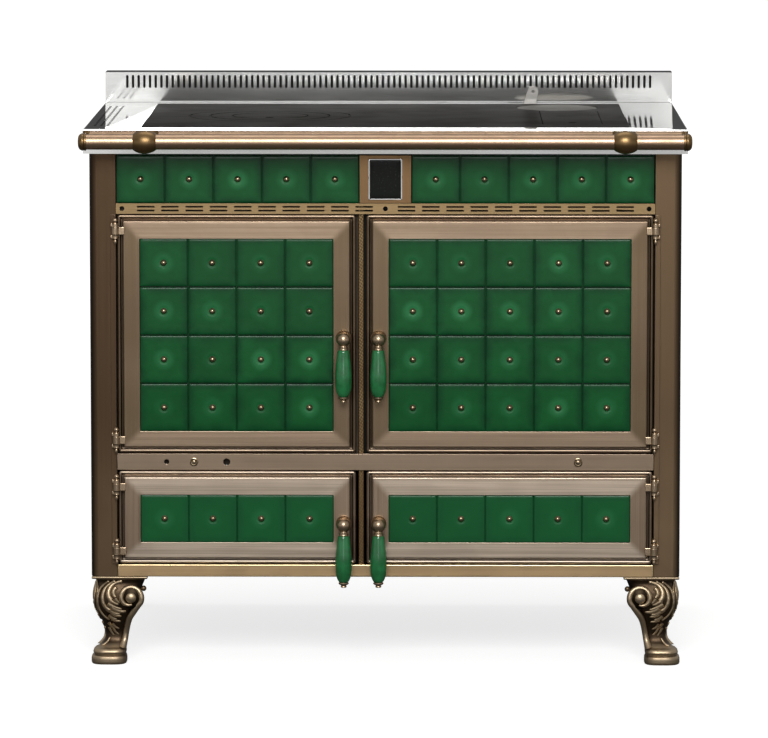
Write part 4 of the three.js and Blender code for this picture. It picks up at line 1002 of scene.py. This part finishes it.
class COOKSTOVE_OT_worktop(bpy.types.Operator):
    """The stainless worktop and the slotted splash back"""

    bl_idname = "cookstove.worktop"
    bl_label = "Worktop"

    def execute(self, context):
        sheet = 2.5
        top = merged("steel_top")
        round_holes(top, "z", sheet, 1.9)
        low, high = span("steel_top")
        rim = [
            edge for edge in sharp(top)
            if all(abs(v.co.z - high.z) < 0.1 for v in edge.verts)
            and any(
                all(abs(v.co[axis] - place[axis]) < 0.1 for v in edge.verts)
                for axis in (0, 1) for place in (low, high)
            )
        ]
        # Painted shade: the walls of the slots and of the hob's recess take the dark second material.
        for face in top.faces:
            middle = face.calc_center_median()
            inside = all(low[i] + 3 < middle[i] < high[i] - 3 for i in (0, 1))
            if inside and abs(face.normal.z) < 0.3 and middle.z > high.z - sheet - 0.1:
                face.material_index = 1
        soften(top, 2.2, 4, rim)
        finishes = ["steel top", "joint shadow"]
        piece(top, "steel_top_dressed", "root", finishes, ["steel_top"], flats=True)
        splash = merged("splash_back")
        round_holes(splash, "y", sheet, 2.0)
        soften(splash, 0.5)
        piece(
            splash, "splash_back_dressed", "root", "steel splash", ["splash_back"],
            flats=True,
        )
        low, high = span("splash_back")
        # A dark sheet behind the slots: painted shade in place of the dark inside.
        shade_sheet = block((low.x + 4, low.y + 9, low.z + 1), (high.x - 4, high.y - 4, high.z - 4))
        piece(shade_sheet, "splash_lining", "root", "joint shadow")
        return {"FINISHED"}


class COOKSTOVE_OT_hob(bpy.types.Operator):
    """The iron hob plate and the pieces that lift out of it"""

    bl_idname = "cookstove.hob"
    bl_label = "Hob"

    def execute(self, context):
        edge = context.scene.cookstove_sizes.ring_groove / MM
        dressed("hob_plate", "root", "hob iron", edge)
        for node in ("hob_ring_outer", "hob_ring_inner", "hob_lid", "cleaning_plate"):
            dressed(node, node, "hob iron", edge)
        dressed("flue_cover", "flue_cover", "cover iron", edge)
        dressed("damper_lever", "damper", "ground iron", 0.6)
        dressed("damper_flap", "damper", "fire iron", 0.6)
        return {"FINISHED"}


# ---------------------------------------------------------------- towel rail


class COOKSTOVE_OT_towel_rail(bpy.types.Operator):
    """The towel rail with its barrels, stems and end caps"""

    bl_idname = "cookstove.towel_rail"
    bl_label = "Towel rail"

    def execute(self, context):
        low, high = span("rail_bar")
        axis = (low + high) / 2
        radius = (high.z - low.z) / 2
        profile = [(0, low.x), (radius - 0.6, low.x), (radius, low.x + 0.6)]
        profile += [(radius, low.x * (1 - i / 10)) for i in range(1, 20)]
        profile += [(radius, high.x - 0.6), (radius - 0.6, high.x), (0, high.x)]
        bar = turned(profile, "x", (0, axis.y, axis.z))
        piece(bar, "rail_bar_turned", "root", "rail bronze", ["rail_bar"])
        for side in ("left", "right"):
            self.barrel(side, axis, radius)
            self.cap(side, axis, radius)
        return {"FINISHED"}

    def barrel(self, side, axis, radius):
        """The barrel on the rail and the stem that carries it."""
        node = "rail_ball_" + side
        low, high = span(node)
        half = (high.x - low.x) / 2
        middle = (low.x + high.x) / 2
        bulge = high.z - axis.z - radius
        profile = [(radius - 0.3, -half), (radius + 0.3, -half)]
        for i in range(1, 20):
            along = half * (i / 10 - 1)
            profile.append((radius + 0.5 + (bulge - 0.5) * (1 - (along / half) ** 2) ** 0.85, along))
        profile += [(radius + 0.3, half), (radius - 0.3, half), (radius - 0.3, -half)]
        barrel = turned(profile, "x", (middle, axis.y, axis.z))
        back = high.y
        stem = [
            (0, axis.y + radius + 2), (7, axis.y + radius + 2), (6.6, axis.y + 22), (7.2, back - 7),
            (9, back - 4.4), (14.2, back - 3), (15, back - 2.2), (15, back - 0.2), (0, back - 0.2),
        ]
        post = turned([(r, a - axis.y) for r, a in stem], "y", (middle, axis.y, axis.z))
        shape = together(barrel, post)
        piece(shape, node + "_turned", "root", "ball bronze", [node])

    def cap(self, side, axis, radius):
        node = "rail_end_" + side
        low, high = span(node)
        end = high.x if side == "right" else -low.x
        start = end - (high.x - low.x)
        wide = (high.z - low.z) / 2
        profile = [
            (radius + 0.1, start), (wide - 0.8, start), (wide, start + 0.8), (wide, start + 2.6),
            (wide - 0.9, start + 3.4), (wide - 0.2, start + 4.4),
        ]
        for angle in (0, 18, 36, 54, 70, 82):
            turn = math.radians(angle)
            along = start + 5 + (end - start - 5) * math.sin(turn)
            profile.append((wide * math.cos(turn) ** 0.55, along))
        profile += [(0, end), (0, start + 1), (radius + 0.1, start + 1), (radius + 0.1, start)]
        cap = turned(profile, "x", (0, axis.y, axis.z))
        if side == "left":
            mirrored(cap)
        piece(cap, node + "_turned", "root", "ball bronze", [node])


# ---------------------------------------------------------------- doors


# Widths of a door's upper and lower rail and of the step in front of its frame
RAIL_TOP, RAIL_BOTTOM, LIP = 28.3, 25.5, 9.5

# How far the front and the back of the leaf lie behind the face of the frame
LEAF_FRONT, LEAF_BACK = 8.0, 12.0

# How far a hinge lies above the bottom and below the top of its door
HINGE_UP, HINGE_DOWN = 21.0, 25.2


class COOKSTOVE_OT_doors(bpy.types.Operator):
    """Door leaves with a rounded bead, a groove and a rolled frame, their knuckles and liners"""

    bl_idname = "cookstove.doors"
    bl_label = "Doors"

    def execute(self, context):
        for door in DOORS:
            self.frame(door, context.scene.cookstove_sizes)
            self.knuckles(door)
            dressed(door + "_liner", door, "zinc", 1.2, 3)
        return {"FINISHED"}

    def frame(self, door, sizes):
        """The leaf: a bead round its edge, a step, then the rolled frame round the tiles."""
        hinge = joint_place(door + "_hinge")
        side = 1 if hinge.x > 0 else -1
        low, high = span(door + "_frame")
        tiles_low, tiles_high = span(door + "_tiles")
        x0, x1 = sorted((hinge.x - side * 2.0, low.x if side > 0 else high.x))
        z0, z1 = low.z, high.z
        face = high.y - LEAF_BACK
        stile = (tiles_low.x - 0.5 - x0 - LIP, x1 - tiles_high.x - 0.5 - LIP)
        bead = sizes.bead_width / MM
        roll = sizes.frame_roll / MM
        front, back = face + LEAF_FRONT, face + LEAF_BACK
        edge = front + 0.4
        # The last value of each step is its wear: above 0 a painted highlight over the wear, below 0 painted
        # shade, which dulls the bead's highlight and is darkest in the groove.
        steps = [(0.4, back, 5, 0), (0, back - 0.4, 5, 0), (0, edge, 5, 0.2)]
        for i in range(1, 8):
            angle = math.radians(180 * i / 8)
            inset = bead / 2 * (1 - math.cos(angle))
            height = sizes.bead_height / MM * math.sin(angle)
            steps.append((inset, edge - height, 5 - inset, -0.3 if i < 6 else -0.5))
        steps += [
            (bead, edge, 1.2, -0.2), (bead + 1.2, front + 0.8, 1.0, -0.4),
            (LIP - 0.1, front + 0.8, 0.6, -0.8), (LIP, front, 0.6, -0.6),
            (LIP, face + roll, 1.2, -0.2),
        ]
        for i in range(1, 5):
            angle = math.radians(90 * i / 4)
            steps.append((
                LIP + roll * (1 - math.cos(angle)), face + roll * (1 - math.sin(angle)), 1.2,
                0.0 if i < 3 else -0.1,
            ))
        bm = bmesh.new()
        loops = [
            loop(bm, rounded_rectangle(x0 + i, x1 - i, z0 + i, z1 - i, max(r, 0.4), y))
            for i, y, r, _ in steps
        ]
        # Round the tiles the frame's inner edge is bright, then painted shade darkens the step down to the
        # tiles.
        inner = [(0.6, face, 0), (0.15, face + 0.15, 0.5), (0, face + 0.6, -0.3), (0, front - 0.3, -0.8)]
        for grow, y, _ in inner:
            loops.append(loop(bm, rounded_rectangle(
                x0 + LIP + stile[0] - grow, x1 - LIP - stile[1] + grow,
                z0 + LIP + RAIL_BOTTOM - grow, z1 - LIP - RAIL_TOP + grow, 0.6, y)))
        wear = [step[3] for step in steps[1:]] + [0] + [w for _, _, w in inner[1:]]
        mitre = bm.verts.layers.float.new("mitre")
        skin(bm, loops, wear)
        for corner in bm.verts:
            top = corner.co.z > (z0 + z1) / 2
            across = min(corner.co.x - x0, x1 - corner.co.x) - LIP
            up = min(corner.co.z - z0, z1 - corner.co.z) - LIP
            left = corner.co.x < (x0 + x1) / 2
            corner[mitre] = across / stile[0 if left else 1] - up / (RAIL_TOP if top else RAIL_BOTTOM)
        piece(bm, door + "_frame_dressed", door, "door bronze", [door + "_frame"], 32, True)

    def knuckles(self, door):
        """The door's halves of its two hinges."""
        hinge = joint_place(door + "_hinge")
        side = 1 if hinge.x > 0 else -1
        low, high = span(door + "_frame")
        face = high.y - LEAF_BACK
        near, far = sorted((hinge.x - side * 4, hinge.x - side * 14.5))
        for end, z in (("low", low.z + HINGE_UP), ("high", high.z - HINGE_DOWN)):
            profile = [
                (3.3, -6.3), (5.2, -6.3), (5.7, -6.0), (6, -5.5), (6, -4.7), (5.6, -4.3), (5.6, 4.3),
                (6, 4.7), (6, 5.5), (5.7, 6.0), (5.2, 6.3), (3.3, 6.3), (3.3, -6.3),
            ]
            knuckle = turned(profile, "z", (hinge.x, hinge.y, z), 32)
            tab = block((near, face - 3.0, z - 6.3), (far, face + 1.5, z + 6.3))
            soften(tab, 1.2, 3)
            shape = together(knuckle, tab)
            name = f"{door}_knuckle_{end}"
            piece(shape, name, door, "handle bronze", flats=True)


class COOKSTOVE_OT_hinges(bpy.types.Operator):
    """The hinge strips on the columns with their barrels and finials"""

    bl_idname = "cookstove.hinges"
    bl_label = "Hinges"

    def execute(self, context):
        for side, sign in (("left", -1), ("right", 1)):
            node = "hinge_strip_" + side
            low, high = span(node)
            outer = -high.x if sign > 0 else low.x
            doors = [
                span(door + "_frame") for door in DOORS
                if joint_place(door + "_hinge").x * sign > 0
            ]
            bottoms = [corners[0].z for corners in doors]
            tops = [corners[1].z for corners in doors]
            wide, thick = 8.2, 2.8
            strip = block(
                (outer, high.y - thick, min(bottoms)), (outer + wide, high.y, max(tops)),
            )
            soften(strip, 0.6, 2)
            heights = [z + HINGE_UP for z in bottoms] + [z - HINGE_DOWN for z in tops]
            shape = together(*[self.pin(z, outer, high.y) for z in heights])
            if sign > 0:
                mirrored(shape)
                mirrored(strip)
            piece(shape, node + "_pins", "root", "handle bronze", (), flats=True)
            piece(strip, node + "_dressed", "root", "column bronze", [node], flats=True)
        return {"FINISHED"}

    def pin(self, z, outer, back):
        """A hinge pin with its finials and the webs that carry it, on the left-hand side."""
        hinge = joint_place("firebox_door_hinge")
        place = (-abs(hinge.x), hinge.y, z)
        low = [
            (0, -20.9), (1.5, -20.4), (2.3, -18.6), (2.5, -16.6), (2.1, -14.6), (1.7, -13.6), (3.4, -13.0),
            (4.6, -12.3), (5.0, -11.4), (4.6, -10.8), (4.7, -8.0), (5.5, -7.6), (5.6, -6.7), (2.9, -6.65),
        ]
        high = [
            (2.9, 6.65), (5.6, 6.7), (5.5, 7.6), (4.7, 8.0), (4.6, 10.8), (5.1, 11.4), (4.8, 12.2),
            (2.6, 12.9), (2.3, 13.4), (3.3, 14.2), (4.2, 16.2), (3.9, 18.4), (2.4, 20.2), (0, 20.9),
        ]
        shapes = [turned(low + high, "z", place, 32)]
        for z0, z1 in ((6.7, 11.8), (-11.8, -6.7)):
            web = block((outer + 0.8, hinge.y, z + z0), (-abs(hinge.x), back - 0.4, z + z1))
            soften(web, 0.8, 2)
            shapes.append(web)
        return together(*shapes)


class COOKSTOVE_OT_handles(bpy.types.Operator):
    """Door handles: rosette, ball, hanging rod with its cap, latch cam and the glazed grip"""

    bl_idname = "cookstove.handles"
    bl_label = "Handles"

    def execute(self, context):
        for door in DOORS:
            body = door + "_handle_turn"
            self.handle(door, body)
            self.grip(door, body)
        return {"FINISHED"}

    def handle(self, door, body):
        """The ball on its neck, the rod down through the grip and the cam behind the leaf."""
        node = door + "_handle"
        centre = joint_place(door + "_handle")
        face = span(door + "_frame")[1].y - LEAF_BACK
        radius, reach = 11.0, 24.0
        ball_y = face - reach
        ball = arc((0, 0), radius, 180, 24, 22)
        neck = [
            (4.7, 12.0), (4.9, 17.2), (5.2, 21.4), (8.0, 21.8), (11.0, 20.7), (11.6, 20.1), (12.2, 20.0),
            (12.5, 20.5), (12.5, 21.2), (12.0, 23.7), (5, 23.7), (5, 36.5), (0, 36.5),
        ]
        knob = turned(ball + neck, "y", (centre.x, ball_y, centre.z))
        down = [
            (0, -8.0), (5.4, -8.6), (5.8, -10.4), (6.0, -11.6), (7.1, -12.4), (7.6, -13.3), (7.1, -14.2),
            (7.4, -15.0), (7.8, -15.8), (7.6, -16.3), (3.0, -16.4), (3.0, -90.8), (7.4, -90.9), (8.2, -91.9),
            (8.0, -93.0), (6.4, -94.4), (4.6, -95.2), (4.0, -96.0), (4.6, -96.8), (4.8, -98.0),
            (3.8, -99.0), (0, -99.3),
        ]
        rod = turned(down, "z", (centre.x, ball_y, centre.z), 32)
        cam = block(
            (centre.x - 4, face + 13, centre.z - 16), (centre.x + 4, face + 17, centre.z + 4),
        )
        soften(cam, 1.0, 3)
        shape = together(knob, rod, cam)
        piece(shape, node + "_turned", body, "handle bronze", [node])

    def grip(self, door, body):
        node = door + "_grip"
        low, high = span(node)
        centre = (low + high) / 2
        wide = (high.x - low.x) / 2
        long = high.z - low.z
        # Radius and distance down, as shares of the widest radius and of the length
        outline = [
            (0.62, 0.0), (0.68, 0.01), (0.72, 0.04), (0.77, 0.1), (0.85, 0.22), (0.93, 0.36),
            (0.98, 0.48), (1.0, 0.58), (0.995, 0.68), (0.96, 0.78), (0.89, 0.86), (0.79, 0.92),
            (0.68, 0.96), (0.59, 0.985), (0.5, 1.0),
        ]
        sides = [(1.06 * wide * r, -long * s) for r, s in outline]
        profile = [(3.3, 0)] + sides + [(3.3, -long), (3.3, 0)]
        grip = turned(profile, "z", (centre.x, centre.y, high.z))
        piece(grip, node + "_glazed", body, "grip glaze", [node], 50)


# ---------------------------------------------------------------- legs


# Height above the floor, then the outer and inner edge measured in from the corner of the body
LEG_OUTLINE = (
    (0, 0.5, 53.0), (0.8, -0.8, 54.2), (3, -1.6, 54.8), (9, -1.6, 54.8), (12, -0.9, 54.2),
    (13.4, 0.8, 53.4), (14.4, 3.6, 52.0), (15.4, 3.6, 52.0), (16.4, 1.8, 53.4), (19, 1.0, 54.0),
    (22, 2.0, 53.6), (24.5, 4.6, 52.6), (26, 8.6, 51.6), (30, 12.2, 50.6), (35, 15.6, 50.8),
    (41, 17.4, 52.2), (48, 17.9, 54.6), (56, 16.4, 57.4), (67, 12.0, 60.6), (78, 6.2, 63.0),
    (88, 2.2, 66.0), (98, -0.4, 70.0), (107, -0.8, 73.5), (116, 0.4, 77.0), (124, 2.6, 80.0),
    (131, 4.6, 83.0), (135, 5.4, 85.0), (137.2, 5.8, 86.0),
)

# Raised strokes on a leg's face: points of (in from the corner, height), start and end radius
LEG_STROKES = (
    ((
        (28, 134), (19, 127), (12.4, 118), (9.6, 106), (10.2, 94), (14.5, 83.5), (21, 75.5),
        (28, 70.5),
    ), 1.8, 1.5),
    ((
        (38, 134), (28.5, 128.5), (21, 120.5), (17.6, 109), (18.8, 98), (23.5, 90.5), (30, 86.5),
    ), 2.2, 3.0),
    (((49, 133.5), (38.5, 130.5), (31, 125), (27, 117), (27.4, 109), (31, 103)), 2.2, 4.0),
    (((40, 124), (35.4, 119), (34.6, 113), (38, 108)), 3.4, 2.4),
    (((27, 104), (32.5, 101), (38, 98), (43, 96.6)), 3.4, 1.2),
    (((36, 107), (40, 102.5), (44.6, 99)), 3.6, 1.2),
    (((25, 98), (32, 94), (40, 90.6), (48, 88.4)), 4.0, 1.3),
    (((31, 92), (39, 87), (47, 84.6), (54.6, 85)), 4.2, 1.4),
    (((24, 90), (30, 85), (37.5, 81.4), (45, 80.4)), 3.8, 1.3),
    (((31, 82.5), (38.6, 78), (47, 76.4)), 3.6, 1.2),
    (((26, 78), (32.5, 73.4), (40, 71.4)), 3.2, 1.1),
    (((31, 72.5), (38, 68.8), (46, 67.6)), 3.0, 1.0),
    (((26, 66), (30.5, 59), (36.4, 53.6)), 2.8, 0.9),
    (((31.5, 64), (36.4, 58.4), (43, 55)), 2.8, 0.9),
    (((26.6, 58), (30, 50.5), (34.6, 44)), 2.5, 0.8),
    (((33, 56), (37, 49.6), (42.4, 45.4)), 2.4, 0.8),
    (((16, 29), (20.5, 31.4), (25, 35.6), (28.5, 41.5)), 1.6, 1.2),
)

# The stem up the inner side that curls into the scroll: points and the radius at each
LEG_STEM = (
    (48.5, 26.5, 6.4), (50.0, 32, 5.6), (52.0, 40, 4.9), (54.0, 51, 4.7), (56.5, 63, 4.8),
    (60.0, 74, 5.0), (66.5, 84, 4.9), (73.3, 93.8, 4.7), (78.4, 101.1, 4.6), (78.8, 109.9, 4.6),
    (75.1, 117.8, 4.6), (67.9, 122.6, 4.6), (59.4, 123.2, 4.6), (51.8, 119.4, 4.5), (47.4, 112.4, 4.3),
    (47.4, 104.4, 3.9), (51.6, 98.1, 3.3), (58.0, 95.5, 2.6), (64.1, 96.4, 1.6),
)


# The middle of the scroll: in from the corner, and its height
VOLUTE = (62.2, 107)


def leg_depth(z):
    """How far the leg's face lies in from the corner of the body at a height.

    Between the foot and the pad it is sunk, so that the strokes stand out.
    """
    sunk = 2.8 * min(1, max(0, (z - 26) / 12)) * min(1, max(0, (136 - z) / 6))
    for low, high in zip(LEG_OUTLINE, LEG_OUTLINE[1:]):
        if z <= high[0]:
            return low[1] + (high[1] - low[1]) * (z - low[0]) / (high[0] - low[0]) + sunk
    return LEG_OUTLINE[-1][1]


def smooth_path(points, steps):
    """More points along a smooth line through the given ones."""
    path = []
    last = len(points) - 1
    for i in range(last):
        before, start, end, after = (Vector(points[max(0, min(last, i + k))]) for k in (-1, 0, 1, 2))
        for k in range(steps):
            t = k / steps
            path.append(0.5 * (
                2 * start + (end - before) * t + (2 * before - 5 * start + 4 * end - after) * t * t
                + (3 * start - before - 3 * end + after) * t ** 3
            ))
    return path + [Vector(points[last])]


def swept(stations, flat=1.0, sides=10):
    """A closed tube through stations of (point, radius), flattened along y by a share."""
    bm = bmesh.new()
    loops = []
    for i, (point, radius) in enumerate(stations):
        ahead = stations[min(i + 1, len(stations) - 1)][0] - stations[max(i - 1, 0)][0]
        ahead.y = 0
        ahead.normalize()
        aside = Vector((ahead.z, 0, -ahead.x))
        ring = []
        for k in range(sides):
            angle = 2 * math.pi * k / sides
            depth = Vector((0, flat * radius * math.sin(angle), 0))
            ring.append(point + aside * radius * math.cos(angle) + depth)
        loops.append(loop(bm, ring))
    skin(bm, loops)
    # Faces turned to the front get a painted highlight over the polish of the ribs, and those turned half to
    # the front a weaker one.
    worn = layer(bm, "worn")
    for face in bm.faces:
        face[worn] = 1.0 if face.normal.y < -0.4 else 0.4 if face.normal.y < -0.1 else 0.0
    return bm


class COOKSTOVE_OT_legs(bpy.types.Operator):
    """Cabriole front legs with scrolls, ribs and leaves, and the plain posts behind"""

    bl_idname = "cookstove.legs"
    bl_label = "Legs"

    def execute(self, context):
        relief = context.scene.cookstove_sizes.rib_height / MM
        for side in ("left", "right"):
            shape = self.front_leg(relief)
            if side == "right":
                mirrored(shape)
            node = "leg_front_" + side
            piece(shape, node + "_cast", "root", "cast bronze", [node], 60)
            dressed("leg_rear_" + side, "root", "column bronze", 1.2, 3)
        return {"FINISHED"}

    def front_leg(self, relief):
        body = self.leg_body()
        surface = BVHTree.FromBMesh(body)
        face = together(self.scroll(), *[self.stroke(surface, *s, relief) for s in LEG_STROKES])
        strokes = [self.stroke(surface, *s, 0.6 * relief) for s in LEG_STROKES[:-1]]
        other = together(self.scroll(), *strokes)
        for corner in other.verts:
            corner.co.x, corner.co.y = corner.co.y, corner.co.x
        bmesh.ops.reverse_faces(other, faces=other.faces)
        pad = block((0.4, 0.4, 137.4), (89, 89, 141.7))
        soften(pad, 1.7, 4)
        leg = together(body, face, other, pad)
        corner = span("side_panel_left")[0]
        bmesh.ops.translate(leg, vec=(corner.x, corner.y, 0), verts=leg.verts)
        return leg

    def leg_body(self):
        """The plain form of the leg: rounded squares, one above the other."""
        bm = bmesh.new()
        loops = []
        sides, squareness = 56, 0.62
        for z, _, inner in smooth_path(LEG_OUTLINE, 3):
            outer = leg_depth(z)
            half, centre = (inner - outer) / 2, (inner + outer) / 2
            ring = []
            for i in range(sides):
                angle = 2 * math.pi * (i + 0.5) / sides
                x, y = (math.copysign(abs(t) ** squareness, t) for t in (math.cos(angle), math.sin(angle)))
                ring.append((centre + half * x, centre + half * y, z))
            loops.append(loop(bm, ring))
        return skin(bm, loops)

    def stroke(self, surface, points, start, end, relief):
        """A raised stroke that lies on the surface of the leg's face."""
        path = smooth_path([(u, 0, z) for u, z in points], 5)
        stations = []
        for i, point in enumerate(path):
            share = i / (len(path) - 1)
            radius = 1.2 * (start + (end - start) * share)
            if i in (0, len(path) - 1):
                radius *= 0.35
            hit = surface.ray_cast(Vector((point.x, -60, point.z)), Vector((0, 1, 0)))[0]
            if hit:
                stations.append((Vector((point.x, hit.y, point.z)), radius))
        return swept(stations, relief / max(start, end))

    def scroll(self):
        """The stem with its volute, the eye in the middle and the ball beside it."""
        path = smooth_path([Vector((u, z, r)) for u, z, r in LEG_STEM], 4)
        stations = []
        for u, z, radius in path:
            stations.append((Vector((u, leg_depth(z) + 1.1 * radius - 3.1, z)), radius))
        band = swept(stations, 1.1, 16)
        face = leg_depth(VOLUTE[1])
        eye = [(0, face + 20), (8.8, face + 20)] + arc((0, face + 1.5), 8.8, 90, 180, 8, 0.6)
        dome = turned(eye, "y", (VOLUTE[0] + 0.2, 0, VOLUTE[1]), 36)
        # The eye is made bright: polish of the high spot and a painted highlight.
        all_wear_and_painted_light(dome, 1.0)
        ground = [(0, face - 0.3), (16, face - 0.3), (17.5, face + 2), (17.5, 26), (0, 26)]
        drum = turned(ground, "y", (VOLUTE[0], 0, VOLUTE[1]), 36)
        # The ground behind the eye is made near black: dark patina and painted shade in the hollow.
        all_wear_and_painted_light(drum, -1.0)
        knob = bmesh.new()
        bmesh.ops.create_uvsphere(knob, u_segments=16, v_segments=10, radius=4.5)
        bmesh.ops.translate(knob, vec=(82.6, 7, 121.9), verts=knob.verts)
        return together(band, dome, drum, knob)


# ---------------------------------------------------------------- inside


class COOKSTOVE_OT_inside(bpy.types.Operator):
    """Firebox, grate, ash drawer, oven and flue box"""

    bl_idname = "cookstove.inside"
    bl_label = "Inside"

    def execute(self, context):
        for node, slot, finish, width in (
            ("firebox", "fire_iron", "fire iron", 1.2), ("grate", "fire_iron", "fire iron", 1.0),
            ("ash_drawer", "galvanised", "zinc", 0.4), ("oven_box", "black_enamel", "black enamel", 0.8),
            ("oven_rack", "stainless", "ground iron", 1.2), ("flue_box", "fire_iron", "fire iron", 0.8),
        ):
            dressed(node, "root", finish, width)
        return {"FINISHED"}


# ---------------------------------------------------------------- studio


class COOKSTOVE_OT_studio(bpy.types.Operator):
    """Pale floor, soft light and the camera"""

    bl_idname = "cookstove.studio"
    bl_label = "Studio"

    def execute(self, context):
        studio = context.scene.cookstove_studio
        context.scene.view_settings.view_transform = "Standard"
        self.camera(context, studio)
        self.floor()
        self.lamps(studio)
        self.sky(context, studio)
        return {"FINISHED"}

    def camera(self, context, studio):
        data = bpy.data.cameras.new("camera")
        data.lens = studio.focal_length
        data.sensor_width = 36
        data.clip_end = 200
        camera = linked("camera", data)
        camera.location = studio.camera_place
        aim = Vector(studio.camera_aim) - camera.location
        camera.rotation_euler = aim.to_track_quat("-Z", "Y").to_euler()
        context.scene.camera = camera

    def floor(self):
        """A wide pale sheet that is white to the camera away from the stove."""
        bm = bmesh.new()
        half = 60
        bmesh.ops.create_grid(bm, x_segments=2, y_segments=2, size=half)
        mesh = bpy.data.meshes.new("floor")
        bm.to_mesh(mesh)
        bm.free()
        linked("floor", mesh)
        paper = Finish("studio floor")
        place = paper.place()
        speckle = paper.noise(place, 40.0, 3.0)
        near_x, near_y, _ = paper.parts(place)
        far = ((near_x * near_x + near_y * near_y) ** 0.5).fade(2.0, 4.6)
        seen = paper.ray("Camera")
        glossy = paper.ray("Glossy")
        through = paper.ray("Transmission")
        pale = paper.mix(speckle * 0.3, linear("b8b8b7"), linear("b2b2b1"))
        # Polished metal mirrors a darker floor, which glows for mirrored rays only: white cards at the sides
        # and a bright lane ahead
        cards = 0.36 + 0.6 * abs(near_x).fade(0.85, 1.35) * near_y.fade(-8.0, -11.0)
        lane = (abs(near_x) / abs(near_y)).fade(0.17, 0.1) * near_y.fade(-4.5, -6.0)
        cards = cards + lane * near_y.fade(-11.0, -9.0) * 0.6
        shine = seen * (0.76 + 0.24 * far) + glossy.larger(through) * far * cards
        paper.set(
            base_color=paper.mix(glossy * 0.75, pale, linear("302e2c")), roughness=0.9,
            emission_color=paper.mix(shine.smaller(1.0), (0, 0, 0, 1), (1, 1, 1, 1)),
            emission_strength=1.0, specular_ior_level=0.0,
        )
        mesh.materials.append(paper.material)

    def lamps(self, studio):
        """Soft boxes: where each stands, its size and its share of the power."""
        for name, place, size, share in (
            ("front", (0.0, -5.0, 3.3), (2.4, 2.4), 1.6),
            ("low", (0.0, -5.0, 0.88), (1.5, 0.44), 0.02),
            ("left", (-0.86, -5.0, 1.4), (0.52, 0.5), 0.0026),
            ("right", (0.94, -5.0, 1.4), (0.52, 0.5), 0.0026),
            ("above", (0.0, 0.4, 3.6), (2.4, 1.6), 0.14),
        ):
            data = bpy.data.lights.new(name, "AREA")
            data.shape = "RECTANGLE"
            data.size, data.size_y = size
            data.energy = studio.lamp_power * share
            lamp = linked(name, data)
            lamp.location = place
            aim = Vector((0, 0, -1)) if name == "above" else Vector((0, 1, 0))
            lamp.rotation_euler = aim.to_track_quat("-Z", "Y").to_euler()

    def sky(self, context, studio):
        """White for the camera, even for dull surfaces, and shaped for what mirrors it."""
        world = bpy.data.worlds.new("studio")
        context.scene.world = world
        world.use_nodes = True
        tree = Tree(world.node_tree)
        direction = tree.node("ShaderNodeTexCoord", output="Generated")
        across, ahead, up = tree.parts(direction)
        seen = tree.ray("Camera")
        mirroring = tree.ray("Glossy").larger(tree.ray("Transmission"))
        front = up.fade(0.3, 0.1) * ahead.fade(-0.2, -0.7) * 0.5
        lane = abs(across).fade(0.17, 0.1) * up.fade(0.06, 0.035) * ahead.fade(-0.7, -0.9) * 2.4
        sides = abs(across).fade(0.5, 0.9) * 0.34
        back = up.fade(0.1, 0.25) * ahead.fade(0.1, 0.5) * 0.36
        ceiling = up.fade(0.4, 0.8) * 0.5
        room = mirroring * (0.07 + front + lane + sides + back.larger(ceiling))
        light = room.larger(seen) + (1 - mirroring.larger(seen)) * studio.sky_strength
        tree.node(
            "ShaderNodeOutputWorld", None,
            {0: tree.node("ShaderNodeBackground", None, {"Color": (1, 1, 1, 1), "Strength": light})},
        )


# ---------------------------------------------------------------- sidebar and start


OPERATORS = (
    COOKSTOVE_OT_studio, COOKSTOVE_OT_carcass, COOKSTOVE_OT_tiles, COOKSTOVE_OT_plaque,
    COOKSTOVE_OT_worktop, COOKSTOVE_OT_hob, COOKSTOVE_OT_towel_rail, COOKSTOVE_OT_doors,
    COOKSTOVE_OT_hinges, COOKSTOVE_OT_handles, COOKSTOVE_OT_legs, COOKSTOVE_OT_inside,
)


class COOKSTOVE_PT_panel(bpy.types.Panel):
    """Lists the operators and the values that they use"""

    bl_label = "Cookstove"
    bl_idname = "COOKSTOVE_PT_panel"
    bl_space_type = "VIEW_3D"
    bl_region_type = "UI"
    bl_category = "Cookstove"

    def draw(self, context):
        for operator in OPERATORS:
            self.layout.operator(operator.bl_idname)
        for group in ("cookstove_sizes", "cookstove_finishes", "cookstove_studio"):
            values = getattr(context.scene, group)
            for name in values.bl_rna.properties.keys()[2:]:
                self.layout.prop(values, name)


GROUPS = {
    "cookstove_sizes": CookstoveSizes,
    "cookstove_finishes": CookstoveFinishes,
    "cookstove_studio": CookstoveStudio,
}


def register():
    for kind in (*GROUPS.values(), *OPERATORS, COOKSTOVE_PT_panel):
        bpy.utils.register_class(kind)
    for name, kind in GROUPS.items():
        setattr(bpy.types.Scene, name, PointerProperty(type=kind))


def unregister():
    for name in GROUPS:
        delattr(bpy.types.Scene, name)
    for kind in (COOKSTOVE_PT_panel, *reversed(OPERATORS), *reversed(GROUPS.values())):
        bpy.utils.unregister_class(kind)


def main():
    register()
    for operator in OPERATORS:
        group, name = operator.bl_idname.split(".")
        getattr(getattr(bpy.ops, group), name)()


if __name__ == "__main__":
    main()
